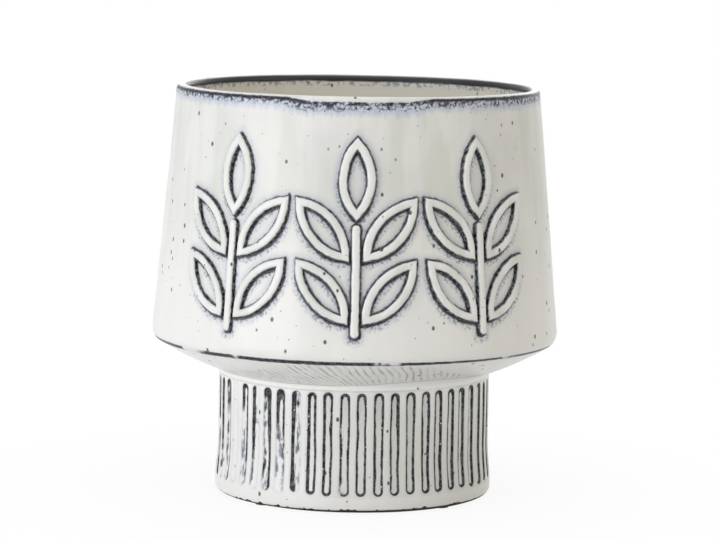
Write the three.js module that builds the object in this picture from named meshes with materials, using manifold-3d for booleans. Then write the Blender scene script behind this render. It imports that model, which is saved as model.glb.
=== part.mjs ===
// A stoneware planter: a wide conical bowl luted onto a narrower fluted foot, with leaf sprigs laid in raised
// lines on the front of the bowl, a lift-out drain plug in the floor and felt pads under the foot ring.
// Millimetres, +Z up. The origin is on the planter's axis, on the table, and the front faces -Y.
import * as THREE from "three";
import { mergeVertices } from "three/addons/utils/BufferGeometryUtils.js";
import Module from "manifold-3d";

// Bowl
const HEIGHT = 180; // table to the top of the lip
const RIM_RADIUS = 79.8; // outside, where the wall meets the lip
const SHOULDER_RADIUS = 89.5; // outside, at the widest ring
const SHOULDER_HEIGHT = 73.2; // table to the widest ring
const SHOULDER_ROUND = 8; // radius of the rounded lower corner
const SHOULDER_SWEEP = 34; // degrees that the corner turns below the widest ring, before the arris
const UNDERSIDE_SLOPE = 26; // degrees that the underside falls towards the foot
const UNDERSIDE_BULGE = 0.8; // how far the underside bows out between the neck and the arris
const BOWL_WALL = 5;
const INNER_ROUND = 9; // radius of the corner between the wall and the sloping floor, inside
const NECK_ROUND = 2.4; // radius of the hollow between the underside and the foot

// Foot
const FOOT_RADIUS = 59.8; // outside, over the lands between the flutes
const FOOT_WALL = 6.1;
const FOOT_FLARE = 1.3; // how far the foot spreads near the table
const FLARE_HEIGHT = 24; // table to where the spread starts
const FOOT_ROUND = 3; // radius of the outer edge at the table
const FOOT_LIP_ROUND = 0.4; // eased outer edge under the seam
const FLOOR_HEIGHT = 10; // table to the inside of the floor
const FLOOR_ROUND = 5; // radius of the corner between the floor and the wall, inside
const BASE_RECESS = 3; // how far the underside of the floor lies above the foot ring
const RING_WIDTH = 8; // flat of the foot ring
const RING_CHAMFER = 1; // slope of the foot ring's inner side

// Luting seam between the foot and the bowl
const SEAM_THICKNESS = 0.6;
const SEAM_SET_BACK = 0.2; // how far the seam lies behind the foot's outer face

// Flutes round the foot
const FLUTE_COUNT = 52;
const FLUTE_WIDTH = 4.2;
const FLUTE_DEPTH = 1.3;
const FLUTE_TOP_LAND = 0.3; // plain band between the flutes and the seam
const FLUTE_BOTTOM_LAND = 7.4; // plain band between the flutes and the foot ring

// Raised lines of the sprigs
const LINE_WIDTH = 4.2;
const LINE_HEIGHT = 1.6;
const LUTING_GAP = 0.3; // between a raised line and what it is laid on or against
const SPRIG_COUNT = 3;
const SPRIG_DROP = 3.6; // how far the sprigs hang below the middle of the wall
const SPRIG_GAP = 3; // between neighbouring sprigs at their widest
const LEAF_LENGTH = 30; // along the middle of the raised line
const LEAF_WIDTH = 11.5; // across, between the middles of the raised lines
const LEAF_ANGLE = 40; // degrees between a side leaf and its stem
const LEAF_PAIRS = 2;
const LEAF_GAP = 1; // between neighbouring leaves on one side of a stem
const FIRST_PAIR_RISE = 8; // foot of the stem to the first pair of leaves
const STEM_TOP_LENGTH = 14; // last pair of leaves to the top of the stem

// Drain plug
const DRAIN_RADIUS = 7;
const PLUG_CLEARANCE = 0.3; // round the plug, in the drain
const PLUG_TAPER = 0.5; // how much narrower the plug is at its foot
const PLUG_STAND_OFF = 0.9; // how far the plug stops short of the underside of the floor
const PLUG_FLANGE_RADIUS = 13;
const PLUG_FLANGE = 2.4;
const PLUG_NECK_RADIUS = 3.4;
const PLUG_NECK = 2.6;
const PLUG_KNOB_RADIUS = 5.2;
const PLUG_KNOB = 3;
const PLUG_EDGE = 0.7; // eased edges of the flange and the knob

// Felt pads
const PAD_COUNT = 4;
const PAD_RADIUS = 3.6;
const PAD_THICKNESS = 0.6;

// Fineness of the round shapes
const BOWL_SEGMENTS = 64;
const PLUG_SEGMENTS = 24;
const PAD_SEGMENTS = 20;
const ROUND_STEPS = 5;
const LEAF_STEPS = 7; // along each side of a leaf
const STEM_STEPS = 9; // along the straight of a stem
const FLUTE_SIDES = 12;
const FLUTE_END_STEPS = 3;

const wasm = await Module();
wasm.setup();

const radians = THREE.MathUtils.degToRad;
const at = (radius, height) => new THREE.Vector2(radius, height);
const towards = (angle) => new THREE.Vector2(Math.cos(angle), Math.sin(angle));

// Heights and radii that follow from the driving dimensions
const RING_HEIGHT = PAD_THICKNESS;
const BASE_HEIGHT = RING_HEIGHT + BASE_RECESS;
const FOOT_BASE_RADIUS = FOOT_RADIUS + FOOT_FLARE;
const RING_OUTER = FOOT_BASE_RADIUS - FOOT_ROUND;
const RING_INNER = RING_OUTER - RING_WIDTH;
const NECK_RADIUS = FOOT_RADIUS - FOOT_WALL;

// Shoulder: a rounded corner that ends in an arris, from which the underside falls to the neck
const shoulderCentre = at(SHOULDER_RADIUS - SHOULDER_ROUND, SHOULDER_HEIGHT);
const arris = shoulderCentre.clone().addScaledVector(towards(-radians(SHOULDER_SWEEP)), SHOULDER_ROUND);
const underside = radians(UNDERSIDE_SLOPE);
const undersideHeight = (radius) => arris.y - (arris.x - radius) * Math.tan(underside);
const neckCorner = at(FOOT_RADIUS, undersideHeight(FOOT_RADIUS));
const NECK_REACH = NECK_ROUND * Math.tan((Math.PI / 2 - underside) / 2);
const BOWL_BASE = neckCorner.y - NECK_REACH;
const FOOT_TOP = BOWL_BASE - SEAM_THICKNESS;

// Wall: the straight line from the lip that touches the shoulder's round
const lipCentreHeight = HEIGHT - BOWL_WALL / 2;
const rimFromCentre = at(RIM_RADIUS, lipCentreHeight).sub(shoulderCentre);
const WALL_LEAN = rimFromCentre.angle() - Math.acos(SHOULDER_ROUND / rimFromCentre.length());
const wallRadius = (height) =>
  shoulderCentre.x +
  (SHOULDER_ROUND - (height - shoulderCentre.y) * Math.sin(WALL_LEAN)) / Math.cos(WALL_LEAN);

// Points of an arc about a centre, from one angle to another.
function arc(centre, radius, from, to, steps = ROUND_STEPS) {
  return Array.from({ length: steps + 1 }, (_, i) =>
    centre.clone().addScaledVector(towards(from + ((to - from) * i) / steps), radius),
  );
}

// The corner at b, between a and c, rounded to a radius.
function rounded(a, b, c, radius, steps = ROUND_STEPS) {
  const toA = a.clone().sub(b).normalize();
  const toC = c.clone().sub(b).normalize();
  const half = Math.acos(toA.dot(toC)) / 2;
  const middle = toA.clone().add(toC).normalize();
  const centre = b.clone().addScaledVector(middle, radius / Math.sin(half));
  const turn = Math.PI / 2 - half;
  const side = Math.sign(middle.cross(toA));
  const back = middle.angle() + Math.PI;
  return arc(centre, radius, back - side * turn, back + side * turn, steps);
}

// A shallow curve from a to b that bows out to the right of the line between them.
function bowed(a, b, bulge, steps = ROUND_STEPS) {
  const line = b.clone().sub(a);
  const out = at(line.y, -line.x).normalize();
  return Array.from({ length: steps + 1 }, (_, i) => {
    const share = i / steps;
    return a.clone().addScaledVector(line, share).addScaledVector(out, 4 * bulge * share * (1 - share));
  });
}

// A closed profile of radius and height, turned about the vertical axis.
function turned(profile, segments) {
  return new THREE.LatheGeometry(profile, segments).rotateX(Math.PI / 2);
}

// A closed geometry as a solid that can be joined and cut.
function solidOf(geometry) {
  const bare = geometry.index ? geometry.toNonIndexed() : geometry.clone();
  bare.deleteAttribute("normal");
  bare.deleteAttribute("uv");
  const merged = mergeVertices(bare);
  return new wasm.Manifold(
    new wasm.Mesh({
      numProp: 3,
      vertProperties: merged.attributes.position.array,
      triVerts: new Uint32Array(merged.index.array),
    }),
  );
}

// A solid's surface as a geometry.
function geometryOf(solid) {
  const { vertProperties, triVerts } = solid.getMesh();
  const geometry = new THREE.BufferGeometry();
  geometry.setAttribute("position", new THREE.BufferAttribute(vertProperties, 3));
  geometry.setIndex(new THREE.BufferAttribute(triVerts, 1));
  geometry.computeVertexNormals();
  return geometry;
}

const glaze = new THREE.MeshStandardMaterial({ color: 0xe9e8e3, roughness: 0.32, metalness: 0 });
const reliefGlaze = new THREE.MeshStandardMaterial({ color: 0xf2f1ee, roughness: 0.32, metalness: 0 });
const slip = new THREE.MeshStandardMaterial({ color: 0xcdc6b6, roughness: 0.6, metalness: 0 });
const silicone = new THREE.MeshStandardMaterial({ color: 0x3a3b3d, roughness: 0.6, metalness: 0 });
const felt = new THREE.MeshStandardMaterial({ color: 0x57534d, roughness: 1, metalness: 0 });

function named(name, geometry, material) {
  const mesh = new THREE.Mesh(geometry, material);
  mesh.name = name;
  return mesh;
}

// Bowl: the lip, the leaning wall, the shoulder, the underside, and the same lines one wall further in.
function bowlGeometry() {
  const lipCentre = at(RIM_RADIUS - BOWL_WALL / 2, lipCentreHeight);
  const innerWall = (height) => at(wallRadius(height) - BOWL_WALL / Math.cos(WALL_LEAN), height);
  const innerFloor = (radius) => at(radius, undersideHeight(radius) + BOWL_WALL / Math.cos(underside));
  const neckInside = innerFloor(NECK_RADIUS);

  // Where the inside of the wall meets the sloping floor, before the corner is rounded
  const wallTop = innerWall(lipCentreHeight);
  const wallFall = Math.tan(WALL_LEAN);
  const floorRise = Math.tan(underside);
  const run = (wallTop.y - neckInside.y - (wallTop.x - neckInside.x) * floorRise) / (1 + wallFall * floorRise);
  const innerCorner = at(wallTop.x + run * wallFall, wallTop.y - run);
  const hollow = rounded(at(FOOT_RADIUS, BOWL_BASE), neckCorner, arris, NECK_ROUND);

  return turned(
    [
      at(NECK_RADIUS, BOWL_BASE),
      ...hollow,
      ...bowed(hollow.at(-1), arris, UNDERSIDE_BULGE).slice(1, -1),
      ...arc(shoulderCentre, SHOULDER_ROUND, -radians(SHOULDER_SWEEP), WALL_LEAN),
      ...arc(lipCentre, BOWL_WALL / 2, 0, Math.PI, 2 * ROUND_STEPS),
      ...rounded(wallTop, innerCorner, neckInside, INNER_ROUND),
      neckInside,
      at(NECK_RADIUS, BOWL_BASE),
    ],
    BOWL_SEGMENTS,
  );
}

// Foot: a cup with a drained floor, a recessed base inside a foot ring, and flutes cut round its outside.
function footGeometry() {
  const topInner = at(NECK_RADIUS, FOOT_TOP);
  const topOuter = at(FOOT_RADIUS, FOOT_TOP);
  const flareTop = at(FOOT_RADIUS, FLARE_HEIGHT);
  const floorEdge = at(NECK_RADIUS, FLOOR_HEIGHT);
  const drainEdge = at(DRAIN_RADIUS, FLOOR_HEIGHT);
  const cup = turned(
    [
      topInner,
      ...rounded(topInner, floorEdge, drainEdge, FLOOR_ROUND),
      drainEdge,
      at(DRAIN_RADIUS, BASE_HEIGHT),
      at(RING_INNER - RING_CHAMFER, BASE_HEIGHT),
      at(RING_INNER, RING_HEIGHT),
      ...arc(at(RING_OUTER, RING_HEIGHT + FOOT_ROUND), FOOT_ROUND, -Math.PI / 2, 0),
      flareTop,
      ...rounded(flareTop, topOuter, topInner, FOOT_LIP_ROUND, 2),
      topInner,
    ],
    FLUTE_COUNT,
  );
  return geometryOf(solidOf(cup).subtract(fluteCutters()));
}

// Round-ended bars, one to each facet of the foot, sunk into it to the flutes' depth.
function fluteCutters() {
  const radius = ((FLUTE_WIDTH / 2) ** 2 + FLUTE_DEPTH ** 2) / (2 * FLUTE_DEPTH);
  const top = FOOT_TOP - FLUTE_TOP_LAND;
  const bottom = RING_HEIGHT + FLUTE_BOTTOM_LAND;
  const straight = top - bottom - 2 * radius;
  const pitch = (2 * Math.PI) / FLUTE_COUNT;
  const reach = FOOT_RADIUS + radius - FLUTE_DEPTH;
  const bars = Array.from({ length: FLUTE_COUNT }, (_, i) => {
    const bar = new THREE.CapsuleGeometry(radius, straight, FLUTE_END_STEPS, FLUTE_SIDES);
    bar.rotateX(Math.PI / 2);
    bar.translate(0, -reach, (top + bottom) / 2);
    bar.rotateZ((i + 0.5) * pitch);
    return solidOf(bar);
  });
  return wasm.Manifold.union(bars);
}

// The ring of slip that holds the bowl on the foot.
function seamGeometry() {
  const outer = FOOT_RADIUS - SEAM_SET_BACK - FOOT_LIP_ROUND;
  return turned(
    [
      at(NECK_RADIUS, FOOT_TOP),
      at(outer, FOOT_TOP),
      at(outer, BOWL_BASE),
      at(NECK_RADIUS, BOWL_BASE),
      at(NECK_RADIUS, FOOT_TOP),
    ],
    FLUTE_COUNT,
  );
}

// A point on the wall: across and up along it from the foot of a sprig, and lifted off it.
function onWall(azimuth, across, up, lift) {
  const height = SPRIG_FOOT + up * Math.cos(WALL_LEAN);
  const radius = wallRadius(height);
  const angle = azimuth + across / radius;
  const out = radius + lift * Math.cos(WALL_LEAN);
  return [out * Math.sin(angle), -out * Math.cos(angle), height + lift * Math.sin(WALL_LEAN)];
}

// Section of a raised line: share of its half width, and share of its height.
const LINE_SECTION = [
  [-1, 0],
  [-0.86, 0.7],
  [-0.45, 1],
  [0.45, 1],
  [0.86, 0.7],
  [1, 0],
];

// A raised line along points of the flat sprig, each with its side direction and its width's share.
function raisedLine(azimuth, path, closed) {
  const sides = LINE_SECTION.length;
  const positions = path.flatMap(({ place, side, share }) =>
    LINE_SECTION.flatMap(([across, lift]) => {
      const flat = place.clone().addScaledVector(side, (across * share * LINE_WIDTH) / 2);
      return onWall(azimuth, flat.x, flat.y, LUTING_GAP + lift * LINE_HEIGHT);
    }),
  );
  const faces = [];
  const stretches = closed ? path.length : path.length - 1;
  for (let i = 0; i < stretches; i++) {
    for (let j = 0; j < sides; j++) {
      const here = i * sides;
      const next = ((i + 1) % path.length) * sides;
      const k = (j + 1) % sides;
      faces.push(here + j, here + k, next + k, here + j, next + k, next + j);
    }
  }
  if (!closed) {
    const last = (path.length - 1) * sides;
    for (let j = 1; j < sides - 1; j++) {
      faces.push(0, j + 1, j, last, last + j, last + j + 1);
    }
  }
  const geometry = new THREE.BufferGeometry();
  geometry.setAttribute("position", new THREE.Float32BufferAttribute(positions, 3));
  geometry.setIndex(faces);
  geometry.computeVertexNormals();
  return geometry;
}

// Leaf: two arcs that meet at a pointed base and a pointed tip
const leafBulge = LEAF_WIDTH / 2;
const LEAF_ARC_RADIUS = ((LEAF_LENGTH / 2) ** 2 + leafBulge ** 2) / (2 * leafBulge);
const LEAF_POINT_ANGLE = Math.asin(LEAF_LENGTH / 2 / LEAF_ARC_RADIUS); // between a side and the leaf's axis
const LEAF_POINT_SHARE = 1 / Math.sin(LEAF_POINT_ANGLE); // how far the line reaches at a point, in half widths
const LEAF_POINT_REACH = (LINE_WIDTH / 2) * LEAF_POINT_SHARE;

// The closed path of a leaf that leaves its base at an angle to the stem.
function leafPath(base, lean) {
  const along = at(Math.sin(lean), Math.cos(lean));
  const right = at(along.y, -along.x);
  const point = (up, out) => base.clone().addScaledVector(along, up).addScaledVector(right, out);
  const aim = (up, out) => along.clone().multiplyScalar(up).addScaledVector(right, out);
  const path = [];
  for (const hand of [1, -1]) {
    const toPoint = hand === 1 ? 0 : LEAF_LENGTH;
    path.push({ place: point(toPoint, 0), side: aim(-hand, 0), share: LEAF_POINT_SHARE });
    for (let i = 1; i < LEAF_STEPS; i++) {
      const turn = hand * LEAF_POINT_ANGLE * ((2 * i) / LEAF_STEPS - 1);
      const up = LEAF_LENGTH / 2 + LEAF_ARC_RADIUS * Math.sin(turn);
      const out = hand * (LEAF_ARC_RADIUS * Math.cos(turn) - LEAF_ARC_RADIUS + leafBulge);
      path.push({ place: point(up, out), side: aim(Math.sin(turn), hand * Math.cos(turn)), share: 1 });
    }
  }
  return path;
}

// The open path of a stem with round ends.
function stemPath(length) {
  const half = LINE_WIDTH / 2;
  const ends = [0.12, 0.5].map((share) => share * half);
  const step = (length - 2 * half) / STEM_STEPS;
  const middle = Array.from({ length: STEM_STEPS + 1 }, (_, i) => half + step * i);
  const stations = [...ends, ...middle, ...ends.map((end) => length - end).reverse()];
  return stations.map((up) => {
    const toEnd = Math.min(up, length - up, half);
    return { place: at(0, up), side: at(1, 0), share: Math.sqrt(1 - (1 - toEnd / half) ** 2) };
  });
}

// Sprig: pairs of leaves up a stem, and one leaf at its top
const leafLean = radians(LEAF_ANGLE);
const LEAF_SET_OFF =
  LINE_WIDTH / 2 + LUTING_GAP + Math.max(LEAF_POINT_REACH * Math.sin(leafLean), LINE_WIDTH / 2);
const PAIR_SPACING = (LEAF_WIDTH + LINE_WIDTH + LEAF_GAP) / Math.sin(leafLean);
const STEM_LENGTH = FIRST_PAIR_RISE + (LEAF_PAIRS - 1) * PAIR_SPACING + STEM_TOP_LENGTH;
const SPRIG_HALF_WIDTH = LEAF_SET_OFF + (LEAF_LENGTH + LEAF_POINT_REACH) * Math.sin(leafLean);
const TOP_LEAF_BASE = STEM_LENGTH + LUTING_GAP + LEAF_POINT_REACH;
const SPRIG_LENGTH = TOP_LEAF_BASE + LEAF_LENGTH + LEAF_POINT_REACH;
const wallMiddle = (SHOULDER_HEIGHT + lipCentreHeight) / 2;
const SPRIG_FOOT = wallMiddle - SPRIG_DROP - (SPRIG_LENGTH / 2) * Math.cos(WALL_LEAN);
const SPRIG_PITCH = (2 * SPRIG_HALF_WIDTH + SPRIG_GAP) / wallRadius(SPRIG_FOOT + STEM_LENGTH);

function sprig(number) {
  const group = new THREE.Group();
  const azimuth = (number - (SPRIG_COUNT + 1) / 2) * SPRIG_PITCH;
  const laid = (name, path, closed) =>
    group.add(named(`sprig_${number}_${name}`, raisedLine(azimuth, path, closed), reliefGlaze));
  laid("stem", stemPath(STEM_LENGTH), false);
  for (let pair = 1; pair <= LEAF_PAIRS; pair++) {
    const up = FIRST_PAIR_RISE + (pair - 1) * PAIR_SPACING;
    laid(`leaf_${pair}_left`, leafPath(at(-LEAF_SET_OFF, up), -leafLean), true);
    laid(`leaf_${pair}_right`, leafPath(at(LEAF_SET_OFF, up), leafLean), true);
  }
  laid("leaf_top", leafPath(at(0, TOP_LEAF_BASE), 0), true);
  return group;
}

// Drain plug: a tapered stopper under a flange that lies on the floor, with a knob to lift it by.
function plugGeometry() {
  const stopper = DRAIN_RADIUS - PLUG_CLEARANCE;
  const flangeTop = FLOOR_HEIGHT + PLUG_FLANGE;
  const knobFoot = flangeTop + PLUG_NECK;
  const knobTop = knobFoot + PLUG_KNOB;
  const flangeEdge = at(PLUG_FLANGE_RADIUS, flangeTop);
  const knobEdge = at(PLUG_KNOB_RADIUS, knobTop);
  return turned(
    [
      at(0, BASE_HEIGHT + PLUG_STAND_OFF),
      at(stopper - PLUG_TAPER, BASE_HEIGHT + PLUG_STAND_OFF),
      at(stopper, FLOOR_HEIGHT),
      at(PLUG_FLANGE_RADIUS, FLOOR_HEIGHT),
      ...rounded(at(PLUG_FLANGE_RADIUS, FLOOR_HEIGHT), flangeEdge, at(0, flangeTop), PLUG_EDGE, 2),
      at(PLUG_NECK_RADIUS, flangeTop),
      at(PLUG_NECK_RADIUS, knobFoot),
      at(PLUG_KNOB_RADIUS, knobFoot),
      ...rounded(at(PLUG_KNOB_RADIUS, knobFoot), knobEdge, at(0, knobTop), PLUG_EDGE, 2),
      at(0, knobTop),
    ],
    PLUG_SEGMENTS,
  );
}

// Felt pads on the flat of the foot ring.
function pads() {
  const group = new THREE.Group();
  const radius = (RING_INNER + RING_OUTER) / 2;
  for (let number = 1; number <= PAD_COUNT; number++) {
    const pad = new THREE.CylinderGeometry(PAD_RADIUS, PAD_RADIUS, PAD_THICKNESS, PAD_SEGMENTS);
    pad.rotateX(Math.PI / 2);
    pad.translate(radius, 0, PAD_THICKNESS / 2);
    pad.rotateZ(((number - 0.5) * 2 * Math.PI) / PAD_COUNT);
    group.add(named(`pad_${number}`, pad, felt));
  }
  return group;
}

const planter = new THREE.Group();
planter.add(named("bowl", bowlGeometry(), glaze));
planter.add(named("luting_seam", seamGeometry(), slip));
planter.add(named("fluted_foot", footGeometry(), glaze));
for (let number = 1; number <= SPRIG_COUNT; number++) {
  planter.add(sprig(number));
}
planter.add(named("drain_plug", plugGeometry(), silicone));
planter.add(pads());

export default planter;
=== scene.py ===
"""Looks of a white stoneware planter: a tapering bowl with raised leaf sprigs on a narrower fluted foot.

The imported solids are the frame, and each piece made here stands for one of them. Blender works in metres,
with +Z up and the planter's front towards -Y. The sizes in the planter's classes are millimetres, and those
of the studio are metres.
"""

from __future__ import annotations

import logging
import math
from dataclasses import dataclass, field
from enum import Enum
from typing import Callable, Iterable, Mapping, Sequence, Union

import bpy
import numpy as np
from mathutils import Matrix, Vector
from mathutils import noise as hand

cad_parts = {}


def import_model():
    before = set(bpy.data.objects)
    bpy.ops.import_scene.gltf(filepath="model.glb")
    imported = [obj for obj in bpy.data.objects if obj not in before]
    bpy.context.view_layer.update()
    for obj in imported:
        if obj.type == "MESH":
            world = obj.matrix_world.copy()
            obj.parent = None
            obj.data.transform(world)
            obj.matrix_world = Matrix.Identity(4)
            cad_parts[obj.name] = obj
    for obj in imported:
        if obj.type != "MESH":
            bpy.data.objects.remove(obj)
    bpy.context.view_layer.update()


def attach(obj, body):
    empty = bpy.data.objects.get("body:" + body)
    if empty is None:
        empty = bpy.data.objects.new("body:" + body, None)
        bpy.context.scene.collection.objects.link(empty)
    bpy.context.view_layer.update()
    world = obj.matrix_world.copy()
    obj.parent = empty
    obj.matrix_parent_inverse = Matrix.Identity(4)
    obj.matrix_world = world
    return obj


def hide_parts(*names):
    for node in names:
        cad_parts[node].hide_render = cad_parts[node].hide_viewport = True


LOG = logging.getLogger("planter")

# A millimetre in Blender's metres, and the distance at which vertices are merged.
MM = 0.001
WELD = 2e-6
FULL_TURN = 2 * math.pi
# A turned piece is spun through one sector, which is then copied round.
SECTORS = 8
# Level of the swells' pattern that leaves a surface in place. It is high, so that pieces hardly grow.
SWELL_LEVEL = 0.9
WOBBLE_SEED = 5

Colour = tuple[float, float, float, float]
# A point of an outline, or a range from low to high.
Flat = tuple[float, float]
# Cell, largest radius and stretch of specks.
Speck = tuple[float, float, float]
# Radius of a rounded corner, and the number of its steps.
Round = tuple[float, int]
Numbers = Union[float, np.ndarray]

# Levels of noise between which dark grain fills in.
GRAIN_LEVELS: Flat = (0.35, 0.6)
# How far below a raised line's edge a place is, between which painted shade under the line sets in.
UNDER_SHADE_LEVELS: Flat = (-0.3, 0.9)


class Body(Enum):
    """Bodies of the frame."""

    POT = "pot"
    PLUG = "plug"


class Slot(Enum):
    """Material slots of the record."""

    WHITE_GLAZE = "white_glaze"
    RELIEF_GLAZE = "relief_glaze"
    SLIP = "slip"
    SILICONE = "silicone"
    FELT = "felt"


def tint(red: int, green: int, blue: int) -> Colour:
    """Gives the linear colour of a screen colour.

    Args:
        red: Red from 0 to 255.
        green: Green from 0 to 255.
        blue: Blue from 0 to 255.

    Returns:
        The linear red, green, blue and alpha.
    """

    def linear(level: int) -> float:
        """Gives the linear share of one screen level."""
        share = level / 255
        return share / 12.92 if share <= 0.04045 else ((share + 0.055) / 1.055) ** 2.4

    return (linear(red), linear(green), linear(blue), 1.0)


class Value:
    """An output socket of a node, on which Python's operators add Math nodes."""

    def __init__(self, graph: Graph, socket: bpy.types.NodeSocket) -> None:
        """Wraps an output socket of a graph's node."""
        self.graph = graph
        self.socket = socket

    def _with(self, operation: str, *terms: Term) -> Value:
        """Adds a Math node on the terms."""
        return self.graph.node("ShaderNodeMath", {"operation": operation}, dict(enumerate(terms)))

    def __add__(self, other: Term) -> Value:
        """Gives self + other."""
        return self._with("ADD", self, other)

    def __radd__(self, other: Term) -> Value:
        """Gives other + self."""
        return self._with("ADD", other, self)

    def __sub__(self, other: Term) -> Value:
        """Gives self - other."""
        return self._with("SUBTRACT", self, other)

    def __rsub__(self, other: Term) -> Value:
        """Gives other - self."""
        return self._with("SUBTRACT", other, self)

    def __mul__(self, other: Term) -> Value:
        """Gives self * other."""
        return self._with("MULTIPLY", self, other)

    def __abs__(self) -> Value:
        """Gives the value without its sign."""
        return self._with("ABSOLUTE", self)

    def fraction(self) -> Value:
        """Gives the part after the point."""
        return self._with("FRACT", self)

    def angle_with(self, other: Value) -> Value:
        """Gives the angle whose sine goes with self and whose cosine goes with other."""
        return self._with("ARCTAN2", self, other)

    def most(self, other: Term) -> Value:
        """Gives the larger of two values."""
        return self._with("MAXIMUM", self, other)

    def sibling(self, name: str) -> Value:
        """Gives another output of the same node."""
        return Value(self.graph, self.socket.node.outputs[name])


Term = Union[Value, float]


class Graph:
    """A tree of shader nodes, to which one method adds them all."""

    def __init__(self, tree: bpy.types.NodeTree) -> None:
        """Wraps the tree of a material or a world."""
        self.tree = tree

    def own(self, kind: str) -> bpy.types.Node:
        """Finds the node of a type that the tree came with."""
        return next(node for node in self.tree.nodes if node.type == kind)

    def node(
        self,
        kind: str,
        settings: Mapping[str, object],
        sockets: Mapping[Union[int, str], object],
        output: Union[int, str] = 0,
    ) -> Value:
        """Adds a node.

        Args:
            kind: Blender's name of the node's type.
            settings: The node's own settings, set before its sockets.
            sockets: Values or links of its input sockets, by name or number.
            output: The output socket to give back.

        Returns:
            The output socket as a value.
        """
        node = self.tree.nodes.new(kind)
        for name, setting in settings.items():
            setattr(node, name, setting)
        for key, entry in sockets.items():
            self.feed(node.inputs[key], entry)
        return Value(self, node.outputs[output])

    def feed(self, socket: bpy.types.NodeSocket, entry: object) -> None:
        """Links or sets an input socket."""
        if isinstance(entry, Value):
            self.tree.links.new(entry.socket, socket)
        else:
            socket.default_value = entry

    def background_rays(self) -> Value:
        """Gives 1 for rays that show the background: straight, mirrored or through glass."""
        straight = self.node("ShaderNodeLightPath", {}, {}, "Is Camera Ray")
        mirrored = straight.sibling("Is Glossy Ray")
        return straight.most(mirrored).most(straight.sibling("Is Transmission Ray"))

    def send(self, output: str, share: Value, first: Value, second: Value) -> None:
        """Sends a mix of two shaders to the tree's output.

        Args:
            output: Type of the output node.
            share: Share of the second shader.
            first: The first shader.
            second: The second shader.
        """
        mix = self.node("ShaderNodeMixShader", {}, {0: share, 1: first, 2: second})
        self.feed(self.own(output).inputs[0], mix)


class Shader(Graph):
    """A material's nodes, with one Principled surface."""

    def __init__(self, name: str) -> None:
        """Makes a material that has only its surface and the place of its points, in millimetres."""
        self.material = bpy.data.materials.new(name)
        self.material.use_nodes = True
        super().__init__(self.material.node_tree)
        self.surface = self.own("BSDF_PRINCIPLED")
        metres = self.node("ShaderNodeTexCoord", {}, {}, "Object")
        self.place = self.scaled(metres, (1 / MM,) * 3)

    def dress(self, **sockets: object) -> None:
        """Feeds the surface's sockets: Base_Color stands for Base Color, and so on."""
        for name, entry in sockets.items():
            self.feed(self.surface.inputs[name.replace("_", " ")], entry)

    def attribute(self, name: str) -> Value:
        """Reads one of the piece's own attributes."""
        return self.node("ShaderNodeAttribute", {"attribute_name": name}, {}, "Fac")

    def axis(self, letter: str) -> Value:
        """Gives one coordinate of the place, in millimetres."""
        return self.node("ShaderNodeSeparateXYZ", {}, {0: self.place}, letter)

    def scaled(self, place: Value, factors: Sequence[float]) -> Value:
        """Scales a place along each axis."""
        return self.node("ShaderNodeVectorMath", {"operation": "MULTIPLY"}, {0: place, 1: factors})

    def stretched(self, across: float, up: float) -> Value:
        """Scales the place across and up, for patterns that run up the wall."""
        return self.scaled(self.place, (across, across, up))

    def noise(self, grain: float, detail: float = 2.0, place: Value | None = None) -> Value:
        """Gives soft noise from 0 to 1.

        Args:
            grain: Size of its patches, in millimetres.
            detail: Finer octaves.
            place: Where to read it, or the place itself.

        Returns:
            The noise.
        """
        sockets = {"Vector": place or self.place, "Scale": 1 / grain, "Detail": detail}
        return self.node("ShaderNodeTexNoise", {"noise_dimensions": "3D"}, sockets)

    def streaks(self, waves: Flat, detail: float = 2.0) -> Value:
        """Gives noise that is stretched up the wall.

        Args:
            waves: Patches per millimetre, across the wall and up it.
            detail: Finer octaves.

        Returns:
            The noise.
        """
        return self.noise(1.0, detail, self.stretched(*waves))

    def smooth(self, value: Value, low: Term, high: Term) -> Value:
        """Rises smoothly from 0 at low to 1 at high."""
        sockets = {"Value": value, "From Min": low, "From Max": high}
        return self.node("ShaderNodeMapRange", {"interpolation_type": "SMOOTHSTEP"}, sockets)

    def patches(self, grain: float, low: float, high: float, detail: float = 2.0) -> Value:
        """Gives patches of noise.

        Args:
            grain: Size of the patches, in millimetres.
            low: Level of the noise where a patch starts.
            high: Level of the noise where it is full.
            detail: Finer octaves.

        Returns:
            A mask that is 1 in a patch.
        """
        return self.smooth(self.noise(grain, detail), low, high)

    def band(self, value: Value, low: Term, high: Term, edge: float) -> Value:
        """Is 1 between low and high, with soft edges."""
        rise = self.smooth(value, low - edge, low + edge)
        fall = self.smooth(value, high - edge, high + edge)
        return rise * (1 - fall)

    def blend(self, share: Term, first: object, second: object) -> Value:
        """Mixes two colours, from first at 0 to second at 1."""
        sockets = {0: share, 6: first, 7: second}
        return self.node("ShaderNodeMix", {"data_type": "RGBA"}, sockets, 2)

    def specks(self, cell: float, radius: float, up: float) -> Value:
        """Gives sparse round specks.

        Args:
            cell: Size of the cells that hold one speck each, in millimetres.
            radius: Radius of the largest specks.
            up: How much longer a speck is up the wall than across.

        Returns:
            A mask that is 1 in a speck.
        """
        sockets = {"Vector": self.stretched(1.0, 1 / up), "Scale": 1 / cell}
        cells = self.node("ShaderNodeTexVoronoi", {}, sockets, "Distance")
        chance = self.node("ShaderNodeSeparateColor", {}, {0: cells.sibling("Color")})
        reach = self.smooth(chance, 0.2, 0.9) * (radius / cell)
        return 1 - self.smooth(cells, reach * 0.55, reach + 0.001)

    def relief(self, height: Value, depth: float) -> None:
        """Raises the surface's normal by a height from 0 to 1.

        Args:
            height: The height pattern.
            depth: Its depth in millimetres.
        """
        sockets = {"Strength": 1.0, "Distance": depth * MM, "Height": height}
        self.dress(Normal=self.node("ShaderNodeBump", {}, sockets))


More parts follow.
